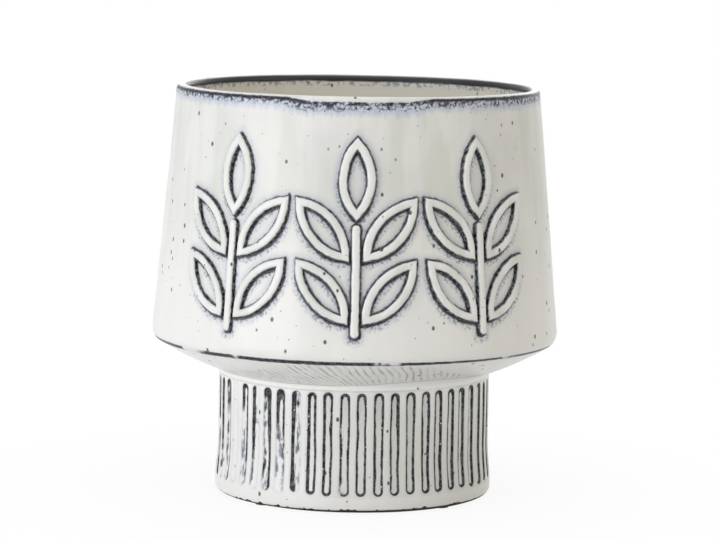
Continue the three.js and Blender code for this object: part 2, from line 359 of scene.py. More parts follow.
def deselect() -> None:
    """Leaves nothing selected."""
    bpy.ops.object.select_all(action="DESELECT")


def places_of(piece: bpy.types.Object) -> np.ndarray:
    """Gives a piece's vertices in millimetres."""
    flat = np.empty(len(piece.data.vertices) * 3, np.float32)
    piece.data.vertices.foreach_get("co", flat)
    return flat.reshape(-1, 3).astype(float) / MM


def move_vertices(piece: bpy.types.Object, places: np.ndarray) -> None:
    """Puts a piece's vertices at places given in millimetres."""
    piece.data.vertices.foreach_set("co", (places * MM).astype(np.float32).ravel())
    piece.data.update()


def azimuths_of(places: np.ndarray) -> np.ndarray:
    """Gives the angles of places about the planter's axis, from its front."""
    return np.arctan2(places[:, 0], -places[:, 1])


def radii_of(places: np.ndarray) -> np.ndarray:
    """Gives the distances of places from the planter's axis."""
    return np.hypot(places[:, 0], places[:, 1])


def on_circles(radius: np.ndarray, azimuth: np.ndarray, height: np.ndarray) -> np.ndarray:
    """Gives places by their distances from the axis, angles from the front and heights."""
    return np.stack([radius * np.sin(azimuth), -radius * np.cos(azimuth), height], axis=1)


def eased(share: Numbers) -> Numbers:
    """Holds shares between 0 and 1, and lets them start and end gently."""
    held = np.clip(share, 0, 1)
    return held * held * (3 - 2 * held)


def write_attribute(piece: bpy.types.Object, name: str, values: np.ndarray) -> None:
    """Writes one number for each vertex, which the piece's material reads."""
    layer = piece.data.attributes.new(name, "FLOAT", "POINT")
    layer.data.foreach_set("value", values.astype(np.float32))


def apply_modifier(piece: bpy.types.Object, kind: str, **settings: object) -> None:
    """Adds a modifier to a piece and applies it."""
    deselect()
    piece.select_set(True)
    bpy.context.view_layer.objects.active = piece
    modifier = piece.modifiers.new(kind.title(), kind)
    for name, setting in settings.items():
        setattr(modifier, name, setting)
    bpy.ops.object.modifier_apply(modifier=modifier.name)


def roughen(piece: bpy.types.Object, grain: float, depth: float) -> None:
    """Makes a piece's surface slightly uneven, as hand work is, and hardly ever larger.

    Args:
        piece: The piece.
        grain: Size of the swells, in millimetres.
        depth: Height of the swells, in millimetres.
    """
    clouds = bpy.data.textures.new(f"{piece.name}_swells", "CLOUDS")
    clouds.noise_scale = grain * MM
    apply_modifier(
        piece, "DISPLACE", texture=clouds, texture_coords="LOCAL", strength=depth * MM, mid_level=SWELL_LEVEL
    )


def close_surface() -> None:
    """Merges doubles, points all faces outwards and leaves edit mode."""
    bpy.ops.mesh.select_all(action="SELECT")
    bpy.ops.mesh.remove_doubles(threshold=WELD)
    bpy.ops.mesh.normals_make_consistent(inside=False)
    bpy.ops.object.mode_set(mode="OBJECT")
    bpy.ops.object.shade_smooth()


def run(start: Vector, end: Vector, pitch: float) -> list[Vector]:
    """Gives evenly spaced points of a straight line.

    Args:
        start: First point.
        end: Last point.
        pitch: Largest distance between points.

    Returns:
        The points, both ends among them.
    """
    steps = max(1, math.ceil((end - start).length / pitch))
    return [start.lerp(end, i / steps) for i in range(steps + 1)]


def bowed(start: Vector, end: Vector, bulge: float, pitch: float) -> list[Vector]:
    """Gives points of a shallow curve that bows out to the right of its line.

    Args:
        start: First point.
        end: Last point.
        bulge: How far the curve leaves the line in its middle.
        pitch: Largest distance between points along the line.

    Returns:
        The points, both ends among them.
    """
    line = end - start
    out = Vector((line.y, -line.x)).normalized()
    points = run(start, end, pitch)
    last = len(points) - 1
    return [point + out * (4 * bulge * i * (last - i) / last**2) for i, point in enumerate(points)]


def arc(centre: Vector, radius: float, start: float, end: float, steps: int) -> list[Vector]:
    """Gives points of an arc about a centre, from one angle to another."""
    turns = (start + (end - start) * i / steps for i in range(steps + 1))
    return [centre + radius * Vector((math.cos(turn), math.sin(turn))) for turn in turns]


def rounded(before: Vector, corner: Vector, after: Vector, radius: float, steps: int) -> list[Vector]:
    """Rounds a corner of an outline.

    Args:
        before: A point on the line that comes to the corner.
        corner: The sharp corner.
        after: A point on the line that leaves it.
        radius: Radius of the round.
        steps: Number of straight steps in it.

    Returns:
        The points of the round.
    """
    to_before = (before - corner).normalized()
    to_after = (after - corner).normalized()
    half = math.acos(to_before.dot(to_after)) / 2
    middle = (to_before + to_after).normalized()
    centre = corner + middle * (radius / math.sin(half))
    back = math.atan2(-middle.y, -middle.x)
    side = math.copysign(math.pi / 2 - half, middle.cross(to_before))
    return arc(centre, radius, back - side, back + side, steps)


def drawn(points: Iterable[Vector]) -> list[Vector]:
    """Leaves out points of an outline that repeat the one before."""
    outline: list[Vector] = []
    for point in points:
        if not outline or (point - outline[-1]).length > WELD / MM:
            outline.append(point)
    return outline


def spun(name: str, outline: Sequence[Vector], steps: int) -> bpy.types.Object:
    """Turns an outline about the planter's axis, as on a wheel.

    Args:
        name: Name of the piece.
        outline: Radius and height of its points, closed or from axis to axis.
        steps: Columns round the axis, a multiple of the sectors that are copied round.

    Returns:
        The closed piece.
    """
    deselect()
    start = outline[0]
    bpy.ops.mesh.primitive_plane_add(size=MM, location=(start.x * MM, 0, start.y * MM))
    piece = bpy.context.object
    piece.name = name
    bpy.ops.object.transform_apply(location=True, rotation=True, scale=True)
    bpy.ops.object.mode_set(mode="EDIT")
    bpy.ops.mesh.merge(type="CENTER")
    for here, there in zip(outline, outline[1:]):
        move = ((there.x - here.x) * MM, 0, (there.y - here.y) * MM)
        bpy.ops.mesh.extrude_region_move(TRANSFORM_OT_translate={"value": move})
    part = FULL_TURN / SECTORS
    for count, angle, copies in ((steps // SECTORS, part, False), (SECTORS - 1, FULL_TURN - part, True)):
        bpy.ops.mesh.select_all(action="SELECT")
        bpy.ops.mesh.spin(steps=count, angle=angle, dupli=copies, center=(0, 0, 0), axis=(0, 0, 1))
    close_surface()
    return piece


def lofted(name: str, loops: Sequence[np.ndarray]) -> bpy.types.Object:
    """Extrudes a ring of edges from loop to loop.

    Args:
        name: Name of the piece.
        loops: The places of the ring's points at each step, in millimetres.

    Returns:
        The piece, closed where loops fall together.
    """
    deselect()
    bpy.ops.mesh.primitive_circle_add(vertices=len(loops[0]), radius=MM)
    piece = bpy.context.object
    piece.name = name
    move_vertices(piece, loops[0])
    bpy.ops.object.mode_set(mode="EDIT")
    bpy.ops.mesh.select_all(action="SELECT")
    for before, after in zip(loops, loops[1:]):
        bpy.ops.mesh.extrude_region_move(TRANSFORM_OT_translate={"value": (0, 0, 0)})
        bpy.ops.object.mode_set(mode="OBJECT")
        places = places_of(piece)
        chosen = np.array([vertex.select for vertex in piece.data.vertices])
        gaps = np.linalg.norm(places[chosen][:, None] - before[None], axis=2)
        places[chosen] = after[gaps.argmin(axis=1)]
        move_vertices(piece, places)
        bpy.ops.object.mode_set(mode="EDIT")
    close_surface()
    return piece


def finished(piece: bpy.types.Object, shader: Shader, body: Body, node: str) -> None:
    """Gives a piece its material and its place in the frame.

    Args:
        piece: The piece.
        shader: Its material.
        body: The body that it moves with.
        node: The solid that it stands for.
    """
    piece.data.materials.clear()
    piece.data.materials.append(shader.material)
    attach(piece, body.value)
    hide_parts(node)
    LOG.info("%s: %d faces", piece.name, len(piece.data.polygons))


@dataclass(frozen=True)
class Marks:
    """What a piece's shape does to its glaze, and the light and shade that are painted into it."""

    dark: Value
    halo: Value
    thick_and_lit: Value | None = None
    thin: Value | None = None
    navy_tint: Value | None = None
    bare: Value | None = None
    strokes: Value | None = None


@dataclass(frozen=True)
class Glaze:
    """A glossy white glaze that breaks dark over edges, on speckled stoneware."""

    name: str = "white_glaze"
    white: Colour = tint(240, 240, 238)
    warm: Colour = tint(226, 226, 221)
    lavender: Colour = tint(226, 228, 238)
    celadon: Colour = tint(218, 223, 214)
    thick_and_lit: Colour = tint(250, 250, 249)
    thin: Colour = tint(248, 246, 238)
    halo_blue: Colour = tint(196, 204, 222)
    navy_blue: Colour = tint(72, 82, 118)
    blue_black: Colour = tint(15, 18, 32)
    brown_black: Colour = tint(30, 27, 30)
    speck: Colour = tint(42, 40, 43)
    stroke: Colour = tint(160, 152, 142)
    clay: Colour = tint(134, 118, 102)
    clay_dark: Colour = tint(86, 74, 64)
    warm_grain: float = 34.0
    warm_share: float = 0.5
    milk_grain: float = 17.0
    milk_share: float = 0.25
    streak_waves: Flat = (0.45, 0.035)
    streak_share: float = 0.5
    wash_waves: Flat = (0.1, 0.014)
    wash_share: float = 0.55
    iron_grain: float = 6.0
    grit_grain: float = 0.7
    large_specks: Speck = (5.6, 0.95, 1.4)
    small_specks: Speck = (3.9, 0.34, 1.0)
    speck_weight: float = 0.88
    speck_pit: float = 0.25
    stroke_weight: float = 0.8
    stroke_pit: float = 0.6
    gloss: float = 0.24
    gloss_grain: float = 20.0
    gloss_sway: float = 0.12
    dark_roughness: float = 0.06
    clay_roughness: float = 0.55
    clay_relief: float = 0.8
    specular: float = 0.26
    peel_grains: Flat = (2.6, 9.0)
    fine_peel: float = 0.55
    peel_depth: float = 0.08

    def ground(self, shader: Shader) -> Value:
        """Mottles the white with warm patches, milky clouds, streaks and pale green washes."""
        warm = shader.patches(self.warm_grain, 0.35, 0.65)
        milk = shader.patches(self.milk_grain, 0.3, 0.8)
        streak = shader.smooth(shader.streaks(self.streak_waves, 3.0), 0.5, 0.8)
        wash = shader.smooth(shader.streaks(self.wash_waves), 0.42, 0.66)
        colour = shader.blend(warm * self.warm_share, self.white, self.warm)
        colour = shader.blend(milk * self.milk_share, colour, self.lavender)
        colour = shader.blend(streak * self.streak_share, colour, self.warm)
        return shader.blend(wash * self.wash_share, colour, self.celadon)

    def peel(self, shader: Shader, specks: Value) -> Value:
        """Gives the fine uneven relief of the glaze, with a pit at each speck."""
        fine, coarse = (shader.noise(grain, 1.0) for grain in self.peel_grains)
        return fine * self.fine_peel + coarse * (1 - self.fine_peel) - specks * self.speck_pit

    def coat(self, piece_name: str, marks: Callable[[Shader], Marks]) -> Shader:
        """Makes the glaze of one piece.

        Args:
            piece_name: The piece, which the material is named for.
            marks: Gives the piece's dark lines, halos and bare clay, and its painted light and shade.

        Returns:
            The finished shader.
        """
        shader = Shader(f"{piece_name}_{self.name}")
        mark = marks(shader)
        colour = self.ground(shader)
        layers = (
            (mark.thick_and_lit, self.thick_and_lit),
            (mark.thin, self.thin),
            (mark.halo, self.halo_blue),
            (mark.navy_tint, self.navy_blue),
        )
        for share, tone in layers:
            if share is not None:
                colour = shader.blend(share, colour, tone)
        specks = shader.specks(*self.large_specks).most(shader.specks(*self.small_specks))
        colour = shader.blend(specks * self.speck_weight, colour, self.speck)
        peel = self.peel(shader, specks)
        gloss = self.gloss + shader.noise(self.gloss_grain) * self.gloss_sway
        gloss = gloss + mark.dark * self.dark_roughness
        if mark.strokes is not None:
            colour = shader.blend(mark.strokes * self.stroke_weight, colour, self.stroke)
            peel = peel - mark.strokes * self.stroke_pit
        if mark.bare is not None:
            grit = shader.noise(self.grit_grain, 3.0)
            clay = shader.blend(shader.smooth(grit, 0.4, 0.7), self.clay, self.clay_dark)
            colour = shader.blend(mark.bare, colour, clay)
            gloss = gloss + mark.bare * self.clay_roughness
            peel = peel + mark.bare * grit * self.clay_relief
        iron = shader.blend(shader.noise(self.iron_grain), self.blue_black, self.brown_black)
        colour = shader.blend(mark.dark, colour, iron)
        shader.dress(Base_Color=colour, Roughness=gloss, Specular_IOR_Level=self.specular)
        shader.relief(peel, self.peel_depth)
        return shader


@dataclass(frozen=True)
class Silicone:
    """Matt dark grey silicone with a fine moulded grain."""

    name: str = "grey_silicone"
    grey: Colour = tint(64, 65, 67)
    pale: Colour = tint(84, 84, 85)
    dust_grain: float = 5.0
    dust_weight: float = 0.6
    roughness: float = 0.5
    dust_roughness: float = 0.2
    mould_grain: float = 0.35
    mould_depth: float = 0.05

    def coat(self) -> Shader:
        """Makes the finish."""
        shader = Shader(self.name)
        dust = shader.patches(self.dust_grain, 0.5, 0.8, 4.0)
        shader.dress(
            Base_Color=shader.blend(dust * self.dust_weight, self.grey, self.pale),
            Roughness=self.roughness + dust * self.dust_roughness,
        )
        shader.relief(shader.noise(self.mould_grain), self.mould_depth)
        return shader


@dataclass(frozen=True)
class Felt:
    """Pressed grey-brown wool felt."""

    name: str = "felt"
    dark: Colour = tint(78, 73, 67)
    light: Colour = tint(128, 121, 111)
    fibre_waves: Flat = (2.0, 5.0)
    tuft_grain: float = 1.6
    tuft_share: float = 0.3
    roughness: float = 0.95
    sheen: float = 0.4
    nap: float = 0.3

    def coat(self) -> Shader:
        """Makes the finish."""
        shader = Shader(self.name)
        fibres = shader.streaks(self.fibre_waves, 5.0)
        tufts = shader.noise(self.tuft_grain)
        colour = shader.blend(shader.smooth(fibres, 0.3, 0.7), self.dark, self.light)
        shader.dress(Base_Color=colour, Roughness=self.roughness, Sheen_Weight=self.sheen)
        shader.relief(fibres * (1 - self.tuft_share) + tufts * self.tuft_share, self.nap)
        return shader


@dataclass(frozen=True)
class Bowl:
    """The wide upper body, from the neck over the arris and the lip to the inside."""

    height: float = 180.0
    rim_radius: float = 79.8
    shoulder_radius: float = 89.5
    shoulder_height: float = 73.2
    shoulder_round: float = 8.0
    shoulder_sweep: float = math.radians(34)
    underside_slope: float = math.radians(26)
    underside_bulge: float = 0.8
    wall: float = 5.0
    inner_round: float = 9.0
    neck_round: float = 2.4
    foot_radius: float = 59.8
    neck_radius: float = 53.7
    columns: int = 432
    front_share: float = 0.5
    front_power: float = 2.2
    neck_pitch: float = 2.5
    underside_pitch: float = 2.0
    wall_pitch: float = 1.6
    sprig_pitch: float = 0.68
    inside_pitch: float = 8.0
    floor_pitch: float = 3.5
    neck_steps: int = 7
    shoulder_steps: int = 12
    lip_steps: int = 20
    inner_steps: int = 8
    swell_grain: float = 38.0
    swell_depth: float = 0.5
    line_reach: float = 14.0
    sprig_heights: Flat = (78.0, 162.0)

    @property
    def shoulder_centre(self) -> Vector:
        """Centre of the rounded shoulder."""
        return Vector((self.shoulder_radius - self.shoulder_round, self.shoulder_height))

    @property
    def arris(self) -> Vector:
        """The edge where the shoulder ends and the underside starts."""
        turn = -self.shoulder_sweep
        return self.shoulder_centre + self.shoulder_round * Vector((math.cos(turn), math.sin(turn)))

    @property
    def lip_height(self) -> float:
        """Height of the lip's centre."""
        return self.height - self.wall / 2

    @property
    def lean(self) -> float:
        """Angle that the wall leans in from upright."""
        rim = Vector((self.rim_radius, self.lip_height)) - self.shoulder_centre
        return math.atan2(rim.y, rim.x) - math.acos(self.shoulder_round / rim.length)

    @property
    def base(self) -> float:
        """Height where the bowl meets the seam."""
        corner = self.underside_height(self.foot_radius)
        return corner - self.neck_round * math.tan((math.pi / 2 - self.underside_slope) / 2)

    @property
    def crease(self) -> float:
        """Where the underside runs into the neck's round, measured along the outline from the arris."""
        width = (self.arris.x - self.foot_radius) / math.cos(self.underside_slope)
        return self.neck_round * math.tan((math.pi / 2 - self.underside_slope) / 2) - width

    def underside_height(self, radius: float) -> float:
        """Gives the height of the underside at a radius."""
        return self.arris.y - (self.arris.x - radius) * math.tan(self.underside_slope)

    def wall_radius(self, height: Numbers) -> Numbers:
        """Gives the outside of the wall at a height."""
        drop = (height - self.shoulder_height) * math.sin(self.lean)
        return self.shoulder_centre.x + (self.shoulder_round - drop) / math.cos(self.lean)

    def outline(self) -> list[Vector]:
        """Draws the closed outline, from the neck up the outside and down the inside.

        Returns:
            The radius and height of its points.
        """
        lip = Vector((self.rim_radius - self.wall / 2, self.lip_height))
        rim = Vector((self.rim_radius, self.lip_height))
        inner_rim = Vector((self.rim_radius - self.wall, self.lip_height))
        neck = Vector((self.neck_radius, self.base))
        foot = Vector((self.foot_radius, self.base))
        neck_corner = Vector((self.foot_radius, self.underside_height(self.foot_radius)))
        rise = self.wall / math.cos(self.underside_slope)
        neck_inside = Vector((self.neck_radius, self.underside_height(self.neck_radius) + rise))
        fall = math.tan(self.lean)
        slope = math.tan(self.underside_slope)
        drop = inner_rim - neck_inside
        depth = (drop.y - drop.x * slope) / (1 + fall * slope)
        inner_corner = inner_rim + Vector((depth * fall, -depth))
        shoulder = arc(
            self.shoulder_centre, self.shoulder_round, -self.shoulder_sweep, self.lean, self.shoulder_steps
        )
        hollow = rounded(foot, neck_corner, self.arris, self.neck_round, self.neck_steps)
        inside = rounded(inner_rim, inner_corner, neck_inside, self.inner_round, self.inner_steps)
        return drawn(
            [
                *run(neck, foot, self.neck_pitch),
                *hollow,
                *bowed(hollow[-1], self.arris, self.underside_bulge, self.underside_pitch),
                *shoulder,
                *self.wall_points(shoulder[-1], rim),
                *arc(lip, self.wall / 2, 0, math.pi, self.lip_steps),
                *run(inner_rim, inside[0], self.inside_pitch),
                *inside,
                *run(inside[-1], neck_inside, self.floor_pitch),
                *run(neck_inside, neck, self.neck_pitch),
            ]
        )

    def wall_points(self, low: Vector, high: Vector) -> list[Vector]:
        """Gives the points up the wall, closer together where the sprigs are."""
        shares = [(height - low.y) / (high.y - low.y) for height in self.sprig_heights]
        first, last = (low.lerp(high, share) for share in shares)
        below = run(low, first, self.wall_pitch)
        beside = run(first, last, self.sprig_pitch)
        above = run(last, high, self.wall_pitch)
        return [*below, *beside, *above]

    def build(self, lines: Sequence[RaisedLine]) -> bpy.types.Object:
        """Spins the bowl and notes where its glaze meets the lip, the arris and the raised lines.

        Args:
            lines: The raised lines that lie on the wall.

        Returns:
            The bowl.
        """
        outline = self.outline()
        piece = spun("bowl_glazed", outline, self.columns)
        places = places_of(piece)
        radius = radii_of(places)
        height = places[:, 2]
        share = azimuths_of(places) / math.pi
        spread = self.front_share * share
        spread += (1 - self.front_share) * np.sign(share) * np.abs(share) ** self.front_power
        azimuth = spread * math.pi
        move_vertices(piece, on_circles(radius, azimuth, height))

        corners = np.array([(point.x, point.y) for point in outline])
        steps = np.linalg.norm(np.diff(corners, axis=0), axis=1)
        along = np.concatenate([[0.0], np.cumsum(steps)])
        crest = along[corners[:, 1].argmax()]
        edge = along[np.linalg.norm(corners - np.array(self.arris), axis=1).argmin()]
        profile = np.stack([radius, height], axis=1)
        nearest = np.linalg.norm(profile[:, None] - corners[None], axis=2).argmin(axis=1)
        way = along[nearest]
        write_attribute(piece, "lip", crest - way)
        write_attribute(piece, "arris", way - edge)
        gap, under = self.line_gaps(lines, azimuth, height, (way > edge) & (way < crest))
        write_attribute(piece, "line", gap)
        write_attribute(piece, "under", under)
        roughen(piece, self.swell_grain, self.swell_depth)
        return piece

    def line_gaps(
        self, lines: Sequence[RaisedLine], azimuth: np.ndarray, height: np.ndarray, outside: np.ndarray
    ) -> tuple[np.ndarray, np.ndarray]:
        """Measures from places of the bowl to the nearest raised line.

        Args:
            lines: The raised lines.
            azimuth: Angles of the places from the front.
            height: Heights of the places.
            outside: True for the places on the outside of the wall.

        Returns:
            The distances in millimetres, and how far each place is below its line, from -1 to 1.
        """
        gap = np.full(len(azimuth), self.line_reach)
        under = np.zeros(len(azimuth))
        for line in lines:
            near = np.flatnonzero(outside & line.near(azimuth, height))
            reach, below = line.gaps(azimuth[near], height[near])
            closer = reach < gap[near]
            gap[near[closer]] = reach[closer]
            under[near[closer]] = below[closer]
        return gap, under

    def dress(self, piece: bpy.types.Object, glaze: Glaze) -> None:
        """Glazes the bowl and puts it in the frame."""
        finished(piece, glaze.coat("bowl", BowlMarks(self).marks), Body.POT, "bowl")


@dataclass(frozen=True)
class BowlMarks:
    """Where the bowl's glaze breaks dark, thins, whitens and shows tool strokes, and where light and shade
    are painted on it.

    Distances from the lip count down its outside from the crest, and distances from the arris up the wall. A
    field that ends in side or edge is the stretch over which a change sets in, in millimetres.
    """

    bowl: Bowl
    fine_grain: float = 1.2
    ragged_grain: float = 2.8
    low_wall_edge: Flat = (12.0, 80.0)
    underside_edge: Flat = (-2.0, -0.5)
    thin_edge: Flat = (-4.5, -1.5)
    crest: float = 1.5
    front_crest: float = 1.7
    front_edge: Flat = (-77.5, -72.5)
    right_side: Flat = (15.0, 60.0)
    faded_side: Flat = (50.0, 78.0)
    fading: float = 0.3
    lip_line: float = 0.95
    lip_zone: float = 1.9
    drip_waves: Flat = (0.5, 0.14)
    drip_length: float = 2.6
    clump_grain: float = 15.0
    crumb_grain: float = 1.3
    inner_depth: float = 3.8
    inner_sway: float = 1.5
    fringe_grain: float = 2.2
    stain_edge: Flat = (-11.0, -4.5)
    stain_weight: float = 0.14
    arris_below: float = 0.95
    arris_above: float = 1.1
    arris_break_grain: float = 13.0
    thinner_side: Flat = (-10.0, 60.0)
    outline_reach: float = 0.1
    outline_swell: float = 0.32
    outline_under_shade: float = 0.62
    outline_grain: float = 11.0
    spray_grain: float = 1.1
    neck_side: Flat = (-10.0, 32.0)
    neck_rise: float = 7.5
    stroke_count: int = 150
    stroke_slant: float = 0.115
    stroke_side: Flat = (20.0, 70.0)
    stroke_grain: float = 7.0
    sway_grains: Flat = (18.0, 4.0)

    def marks(self, shader: Shader) -> Marks:
        """Gives the dark lip, the dark arris, the outlines of the raised lines, the strokes underneath and
        painted light on the neck.
        """
        grain = shader.noise(self.fine_grain)
        ragged = shader.noise(self.ragged_grain)
        lip_dark, lip_halo, lip_smear = self.outer_lip(shader, grain, ragged)
        inner_dark, inner_stain = self.inner_lip(shader)
        arris_dark, arris_halo = self.arris_line(shader, ragged)
        line_dark, line_halo, line_spray = self.outlines(shader, grain, ragged)
        body = 0.9 + shader.smooth(grain, *GRAIN_LEVELS) * 0.1
        dark = lip_dark.most(arris_dark).most(line_dark) * body
        arris = shader.attribute("arris")
        # The low wall and the underside are whiter. On the neck's round, which lies in the bowl's shade, the
        # whitening is painted light, and it reaches higher on the right.
        low_wall = (1 - shader.smooth(arris, *self.low_wall_edge)) * shader.smooth(arris, 0.0, 1.5) * 0.7
        neck_end = self.neck_end(shader)
        neck = 1 - shader.smooth(arris, neck_end - 0.6, neck_end + 0.2)
        underside = (1 - shader.smooth(arris, *self.underside_edge)) * 0.4
        return Marks(
            dark.most(inner_dark),
            lip_halo.most(line_halo).most(arris_halo),
            thick_and_lit=low_wall.most(neck).most(underside),
            thin=1 - shader.smooth(shader.attribute("lip"), *self.thin_edge),
            navy_tint=lip_smear.most(inner_stain).most(line_spray),
            strokes=self.strokes(shader),
        )

    def outer_lip(self, shader: Shader, grain: Value, ragged: Value) -> tuple[Value, Value, Value]:
        """Darkens the outside of the lip, under its white crest, with painted glints breaking the dark line
        at the front.

        Args:
            shader: The bowl's material.
            grain: Fine noise.
            ragged: Noise that wears the edges.

        Returns:
            The dark line with its crumbs, the blue glow under it, and its navy fringe.
        """
        lip = shader.attribute("lip")
        drips = shader.streaks(self.drip_waves, 3.0)
        clumps = shader.noise(self.clump_grain) - 0.5
        front = 1 - shader.smooth(shader.axis("Y"), *self.front_edge)
        right = shader.smooth(shader.axis("X"), *self.right_side)
        faded = shader.smooth(shader.axis("X"), *self.faded_side) * self.fading
        crumbs = shader.noise(self.crumb_grain, 2.5) + clumps * 0.3 + right * 0.05
        top = self.crest + front * self.front_crest + ragged * 0.9
        foot = top + self.lip_zone + front * 0.5 + drips * self.drip_length + right * 0.8
        line_foot = top + self.lip_line + ragged - faded * 0.4
        start = shader.smooth(lip, top - 0.3, top + 0.3)
        # Painted glints break the dark line in patches at the planter's front. On the right the line wears
        # thin.
        front_glints = front * shader.smooth(ragged, 0.42, 0.56)
        worn_right = faded * shader.smooth(grain, 0.4, 0.6) * 0.7
        unworn_unglinted = 1 - front_glints.most(worn_right) * 0.85
        line = start * (1 - shader.smooth(lip, line_foot - 0.2, line_foot + 0.6)) * unworn_unglinted
        zone = start * (1 - shader.smooth(lip, foot - 1.2, foot + 1.0))
        dark = line.most(zone * shader.smooth(crumbs, 0.54, 0.64) * 0.85)
        halo = shader.band(lip, top, foot + 0.6 + drips * 2.5, 1.6) * 0.7
        navy_tint = zone * shader.smooth(crumbs, 0.4, 0.6) * (0.85 - faded * 0.25)
        return dark, halo, navy_tint

    def inner_lip(self, shader: Shader) -> tuple[Value, Value]:
        """Darkens the inside of the lip, and stains the wall a little below it.

        Args:
            shader: The bowl's material.

        Returns:
            The dark band and the stain.
        """
        lip = shader.attribute("lip")
        foot = -self.inner_depth - shader.noise(self.clump_grain) * self.inner_sway
        band = shader.smooth(lip, foot - 0.6, foot + 0.5) * (1 - shader.smooth(lip, -2.2, -0.3)) * 0.98
        crumbs = shader.patches(self.fringe_grain, 0.42, 0.6, 2.5)
        fringe = shader.band(lip, foot - 2.0, foot + 0.6, 1.0) * crumbs
        darkening = shader.smooth(lip, *self.stain_edge) * (1 - shader.smooth(lip, -2.0, -0.5))
        return band, (darkening * self.stain_weight).most(fringe * 0.6)

    def arris_line(self, shader: Shader, ragged: Value) -> tuple[Value, Value]:
        """Draws the thin dark line along the arris, which breaks here and there.

        Args:
            shader: The bowl's material.
            ragged: Noise that wears the edges.

        Returns:
            The line and its glow.
        """
        arris = shader.attribute("arris")
        unbroken = shader.patches(self.arris_break_grain, 0.35, 0.43)
        edge = arris + (ragged - 0.5) * 1.2
        thinner = shader.smooth(shader.axis("X"), *self.thinner_side)
        low = thinner * 0.3 - self.arris_below
        high = self.arris_above + ragged * 0.7 - thinner * 0.6
        line = shader.band(edge, low, high, 0.25) * unbroken
        return line, shader.band(arris, -1.4, 2.2, 1.2) * 0.2

    def outlines(self, shader: Shader, grain: Value, ragged: Value) -> tuple[Value, Value, Value]:
        """Draws the dark outlines of the raised lines, wider below them as painted shadow.

        Args:
            shader: The bowl's material.
            grain: Fine noise.
            ragged: Noise that wears the edges.

        Returns:
            The outlines, their glow, and the fine navy spray at their edges.
        """
        line = shader.attribute("line")
        # Painted shadow under each raised line: below it the outline is wider, and the halo and the navy
        # spray are stronger.
        widening = shader.smooth(shader.attribute("under"), *UNDER_SHADE_LEVELS)
        swell = shader.patches(self.outline_grain, 0.38, 0.66)
        reach = self.outline_reach + swell * self.outline_swell + widening * self.outline_under_shade
        reach = reach + (ragged - 0.5) * 1.1
        edge = (1 - shader.smooth(line, reach - 0.35, reach + 0.55)) * 0.95
        halo = (1 - shader.smooth(line, 0.3, 2.2 + ragged * 3.0)) * (0.24 + grain * 0.34 + widening * 0.2)
        crumbs = shader.patches(self.spray_grain, 0.48, 0.62, 2.5) * (0.35 + widening * 0.35)
        spray = (1 - shader.smooth(line, reach, reach + 1.2 + widening * 2.4)) * crumbs
        return edge, halo, spray

    def neck_end(self, shader: Shader) -> Value:
        """Tells how far below the arris the plain neck begins, which reaches higher on the right."""
        right = shader.smooth(shader.axis("X"), *self.neck_side)
        return right * self.neck_rise + self.bowl.crease

    def strokes(self, shader: Shader) -> Value:
        """Gives the slanting tool strokes on the underside and the crease at its foot."""
        arris = shader.attribute("arris")
        across = shader.axis("X")
        azimuth = across.angle_with(shader.axis("Y") * -1.0) * (self.stroke_count / FULL_TURN)
        slow, quick = (shader.noise(grain) for grain in self.sway_grains)
        stroke = (azimuth + arris * self.stroke_slant + slow * 1.6 + quick * 0.25).fraction()
        broken = shader.patches(self.stroke_grain, 0.4, 0.6)
        neck_end = self.neck_end(shader)
        start = shader.smooth(abs(across), *self.stroke_side) * self.bowl.crease * 0.85 - 2.0
        hatch = shader.band(arris, neck_end + 1.0, start, 1.6) * shader.band(stroke, 0.34, 0.6, 0.16)
        fold = shader.band(arris, neck_end - 0.6, neck_end + 0.9, 0.4) * 0.6
        return (hatch * (0.3 + broken * 0.7)).most(fold)


@dataclass(frozen=True)
class Station:
    """A point of a raised line's middle, and the reach from it to the line's edge, on the flat sprig."""

    middle: Vector
    reach: Vector


